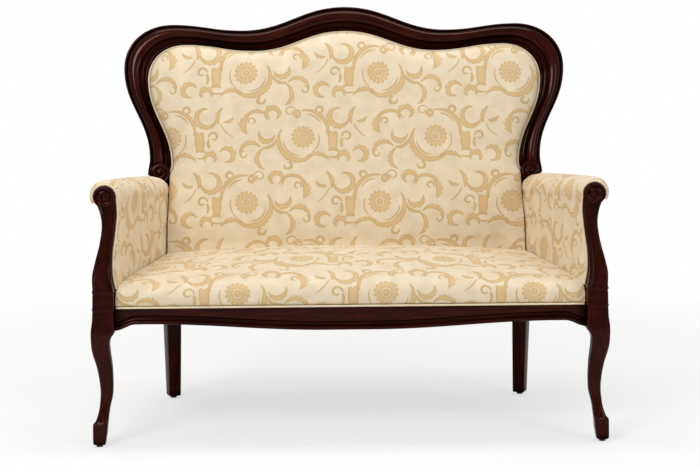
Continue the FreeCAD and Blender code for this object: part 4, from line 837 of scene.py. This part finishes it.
def arm_profile(share, drawn, y):
    """Section of the arm from the seat up the inner face, over the roll and under its outer side."""
    roll_x, roll_z = between(*ROLL_X, share), between(*ROLL_Z, share)
    radius = between(*ROLL_RADIUS, share) + COVER_THICK
    settle = max(share, 0) ** 2
    less = 4 * settle + 5 * max(0, share - 0.86) / 0.14
    roll_x, roll_z, radius = roll_x - less - 1.5 * settle, roll_z - 5 * settle, radius - less
    face_x, hollow = between(*FACE_X, share) - COVER_THICK - 1.5 * settle + drawn, between(8, 0, share)
    radius -= drawn
    middle = between(ARM_FOOT, roll_z, 0.4)
    knots = [(ARM_FOOT, face_x), (middle, between(face_x, roll_x - radius, 0.4) + hollow),
             (between(middle, roll_z, 0.55), between(face_x, roll_x - radius, 0.72) + hollow * 0.75),
             (roll_z - 0.34 * radius, roll_x - 0.94 * radius)]
    points = []
    for i in range(40):
        z = between(ARM_FOOT, knots[-1][0], i / 40)
        points.append((curve(knots, z), z))
    gather = 1.3 * math.exp(-max(share, 0) * GATHERS_FADE)
    for i in range(61):
        angle = math.radians(200 - 228 * i / 60)
        fold = gather * math.cos(angle * 23) * (0.6 + 0.4 * math.sin(angle * 5))
        reach = radius + fold
        points.append((roll_x + reach * math.cos(angle), roll_z + reach * math.sin(angle)))
    low = rail_height(y) - 13
    points += [(roll_x + radius * 0.6, low), (roll_x, low)]
    return points


# (y, how far the cloth is drawn in to the post) along the arm
stations = [(-291.4, 24.0), (-291.4, 9.0), (-291.0, 6.0), (-290.0, 3.8), (-288.4, 2.0), (-286.2, 0.8),
            (-283.5, 0.0)]
stations += [(-283.5 + 478.7 * (i / 90) ** 1.25, 0.0) for i in range(1, 91)]
# Painted light: each arm's damask is a brighter copy of the same cloth, the left lit more than the right.
cloth_left = damask("damask_left_arm", 0.06, 0.02, 1.1)
cloth_right = damask("damask_right_arm", 0.0, 0.05, 1.03)
for side, name, cloth in ((1, "right", cloth_right), (-1, "left", cloth_left)):
    rows, marks = [], []
    for y, drawn in stations:
        share = (y - ARM_FRONT) / (ARM_REAR - ARM_FRONT)
        row, uv, reach, last = [], [], 0.0, None
        for x, z in arm_profile(share, drawn, y):
            reach += math.dist((x, z), last) if last else 0.0
            last = (x, z)
            here = y if share < 0 else ARM_FRONT + share * (back_y(z, BACK_FACE) - ARM_FRONT)
            ripple = 0.8 * soft_noise(here, z, side * 40, 0.016, 7)
            row.append(metres(x - ripple, here, z))
            uv.append((here / 1000, reach / 1000))
        rows.append(row)
        marks.append(uv)
    arm = build("arm_cushion_" + name, [shell(rows, False, False, marks)], side, "cloth")
    fit(arm, cloth, "damask", "arm_cover_" + name, "arm_pad_" + name, angle=80)
    rows, marks = [], []
    for i in range(31):
        share = i / 30
        row, uv = [], []
        for j in range(25):
            z_share = j / 24
            z = between(PANEL_LOW, rail_height(between(-280, 180, share)) - 14, z_share)
            y = between(-280, back_y(z, 29), share)
            foot_x = between(*PANEL_X, (y - side_start[1]) / 404.3) - 2
            hollow = between(3.5, 0.5, share) * math.sin(math.pi * z_share)
            row.append(metres(between(foot_x, between(*PANEL_TOP_X, share), z_share) - hollow, y, z))
            uv.append((y / 1000, z / 1000))
        inner = [point - Vector((0.0025, 0, 0)) for point in reversed(row)]
        rows.append(row + inner)
        marks.append(uv + uv[::-1] + uv[:1])
    panel = build("outside_arm_panel_" + name, [shell(rows, True, True, marks)], side, "cloth")
    fit(panel, cloth, "damask", "outside_arm_panel_" + name, angle=50)


# Piping. Cord covered in the plain cream of the damask, sewn along the frame's sight line, along the
# front rail, and up the inner edge of each arm post and round the end of the arm's roll.
CORD_RADIUS = 0.0026
ARM_CORD_Y, ARM_CORD_REACH = -293, 29.7
# (share of the post's height, distance from the leg's centre)
ARM_CORD = [(0.0, -26.0), (0.1, -21.5), (0.22, -19.5), (0.39, -21.5), (0.6, -29.0), (0.82, -35.0)]


def piping_cloth():
    material, tree, shader = fresh("piping")
    place = add(tree, "ShaderNodeUVMap", uv_map="grain").outputs[0]
    twill = add(tree, "ShaderNodeTexWave", {"Vector": place, "Scale": 180.0, "Distortion": 1.0},
                bands_direction="DIAGONAL").outputs["Fac"]
    patch = noisy(tree, place, 30.0, 2.0)
    colour = shades(tree, patch, (0.3, (0.72, 0.58, 0.37)), (0.7, (0.80, 0.67, 0.45)))
    tree.links.new(colour, shader.inputs["Base Color"])
    shader.inputs["Roughness"].default_value = 0.7
    relief(tree, shader, twill, 0.4, 0.0004)
    return material


def cord(points):
    """Round cord through a run of points."""
    rows = []
    for i, point in enumerate(points):
        way = (points[min(i + 1, len(points) - 1)] - points[max(i - 1, 0)]).normalized()
        side = way.cross(Vector((0, -1, 0.2))).normalized()
        up = side.cross(way).normalized()
        rows.append([point + side * (CORD_RADIUS * math.cos(a)) + up * (CORD_RADIUS * math.sin(a))
                     for a in (math.pi * k / 7 for k in range(14))])
    return shell(rows)


piped = piping_cloth()
line = [on_back(*past_sight(i / 50, 2.7), 22.0) for i in range(-250, 251)]
fit(build("back_piping", [cord(line)]), piped, "piping", "back_piping")
line = [metres(between(-569, 569, i / 200), -304.8, 339.0) for i in range(201)]
fit(build("seat_piping", [cord(line)]), piped, "piping", "seat_piping")
for side, name in ((1, "arm_piping_right"), (-1, "arm_piping_left")):
    line = [metres(LEG_X + curve(ARM_CORD, i / 60) - 3.2, ARM_CORD_Y, between(LEG_TOP, KNUCKLE_Z, i / 60))
            for i in range(50)]
    for i in range(41):
        angle = math.radians(188 - 200 * i / 40)
        line.append(metres(KNUCKLE_X + ARM_CORD_REACH * math.cos(angle), ARM_CORD_Y,
                           KNUCKLE_Z + ARM_CORD_REACH * math.sin(angle)))
    fit(build(name, [cord(line)], side), piped, "piping", name)


# Glides. A round black pad of hard plastic under each foot, held by a square pin that is driven into
# the wood.
def moulded_black():
    material, tree, shader = fresh("glide")
    place = add(tree, "ShaderNodeTexCoord").outputs["Object"]
    scuff = noisy(tree, place, 400.0, 3.0)
    colour = shades(tree, scuff, (0.4, (0.012, 0.012, 0.012)), (0.8, (0.05, 0.048, 0.045)))
    tree.links.new(colour, shader.inputs["Base Color"])
    shader.inputs["Roughness"].default_value = 0.5
    return material


finish_nodes(moulded_black(), "glide", "foot_glides")


# Stage. A white floor that keeps the sofa's shadow, in a white room with three soft studio lamps from
# the front and above. The camera stands where the photograph's stood.
def lit_white():
    """Floor that is white to the camera and takes shadow near the sofa."""
    shadow_share, shadow_near, shadow_far = 0.38, 0.7, 2.2
    material = bpy.data.materials.new("floor")
    material.use_nodes = True
    tree = material.node_tree
    tree.nodes.clear()
    path = add(tree, "ShaderNodeLightPath").outputs
    seen = calc(tree, "MINIMUM", calc(tree, "ADD", path["Is Camera Ray"], path["Is Transmission Ray"]), 1.0)
    plain = add(tree, "ShaderNodeBsdfDiffuse", {"Color": (0.8, 0.8, 0.8, 1)}).outputs[0]
    white = add(tree, "ShaderNodeEmission", {"Color": (1, 1, 1, 1), "Strength": 1.0}).outputs[0]
    shaded = add(tree, "ShaderNodeBsdfDiffuse", {"Color": (0.95, 0.93, 0.92, 1)}).outputs[0]
    place = add(tree, "ShaderNodeNewGeometry").outputs["Position"]
    away = add(tree, "ShaderNodeVectorMath", {0: place}, operation="LENGTH").outputs["Value"]
    near = add(tree, "ShaderNodeMapRange", {"Value": away, "From Min": shadow_near, "From Max": shadow_far,
                                            "To Min": shadow_share, "To Max": 0.0}).outputs[0]
    swept = add(tree, "ShaderNodeMixShader", {0: near, 1: white, 2: shaded}).outputs[0]
    shown = add(tree, "ShaderNodeMixShader", {0: seen, 1: plain, 2: swept}).outputs[0]
    add(tree, "ShaderNodeOutputMaterial", {"Surface": shown})
    return material


floor_mesh = bpy.data.meshes.new("floor")
FLOOR_HALF = 9
corners = [(x * FLOOR_HALF, y * FLOOR_HALF, 0) for x, y in ((-1, -1), (1, -1), (1, 1), (-1, 1))]
floor_mesh.from_pydata(corners, [], [(0, 1, 2, 3)])
floor = bpy.data.objects.new("floor", floor_mesh)
floor_mesh.materials.append(lit_white())
bpy.context.scene.collection.objects.link(floor)

world = bpy.data.worlds.new("studio")
bpy.context.scene.world = world
world.use_nodes = True
tree = world.node_tree
tree.nodes.clear()
path = add(tree, "ShaderNodeLightPath").outputs
seen = calc(tree, "MAXIMUM", path["Is Camera Ray"], path["Is Transmission Ray"])
LIGHT_ON_SOFA = 0.4
strength = calc(tree, "MULTIPLY_ADD", seen, 1 - LIGHT_ON_SOFA, LIGHT_ON_SOFA)
room = add(tree, "ShaderNodeBackground", {"Color": (1, 1, 1, 1), "Strength": strength}).outputs[0]
add(tree, "ShaderNodeOutputWorld", {"Surface": room})


def softbox(name, place, target, wide, tall, power):
    """Oblong lamp; sizes in metres, power in watts."""
    light = bpy.data.lights.new(name, "AREA")
    light.shape, light.size, light.size_y, light.energy = "RECTANGLE", wide, tall, power
    lamp = bpy.data.objects.new(name, light)
    lamp.location = place
    lamp.rotation_euler = (Vector(target) - Vector(place)).to_track_quat("-Z", "Y").to_euler()
    bpy.context.scene.collection.objects.link(lamp)


softbox("key", (-1.6, -2.6, 2.6), (0, 0, 0.5), 1.5, 0.9, 62)
softbox("fill", (2.4, -2.4, 1.6), (0, 0, 0.5), 0.9, 1.4, 24)
softbox("top", (0.0, 0.2, 3.0), (0, 0, 0.4), 2.6, 0.7, 36)

camera_data = bpy.data.cameras.new("camera")
camera_data.sensor_width, camera_data.lens = 36.0, 77.66
camera = bpy.data.objects.new("camera", camera_data)
bpy.context.scene.collection.objects.link(camera)
CAMERA_PLACE, CAMERA_WAY, CAMERA_ROLL = (-0.0916, -3.9215, 0.979), (0.0246, 0.9916, -0.1269), 0.00558
forward = Vector(CAMERA_WAY).normalized()
level = forward.cross(Vector((0, 0, 1))).normalized()
upright = level.cross(forward)
right = (level - upright * CAMERA_ROLL).normalized()
turned = Matrix((right, right.cross(forward), -forward)).transposed().to_4x4()
camera.matrix_world = Matrix.Translation(CAMERA_PLACE) @ turned
bpy.context.scene.camera = camera
bpy.context.scene.view_settings.view_transform = "Standard"
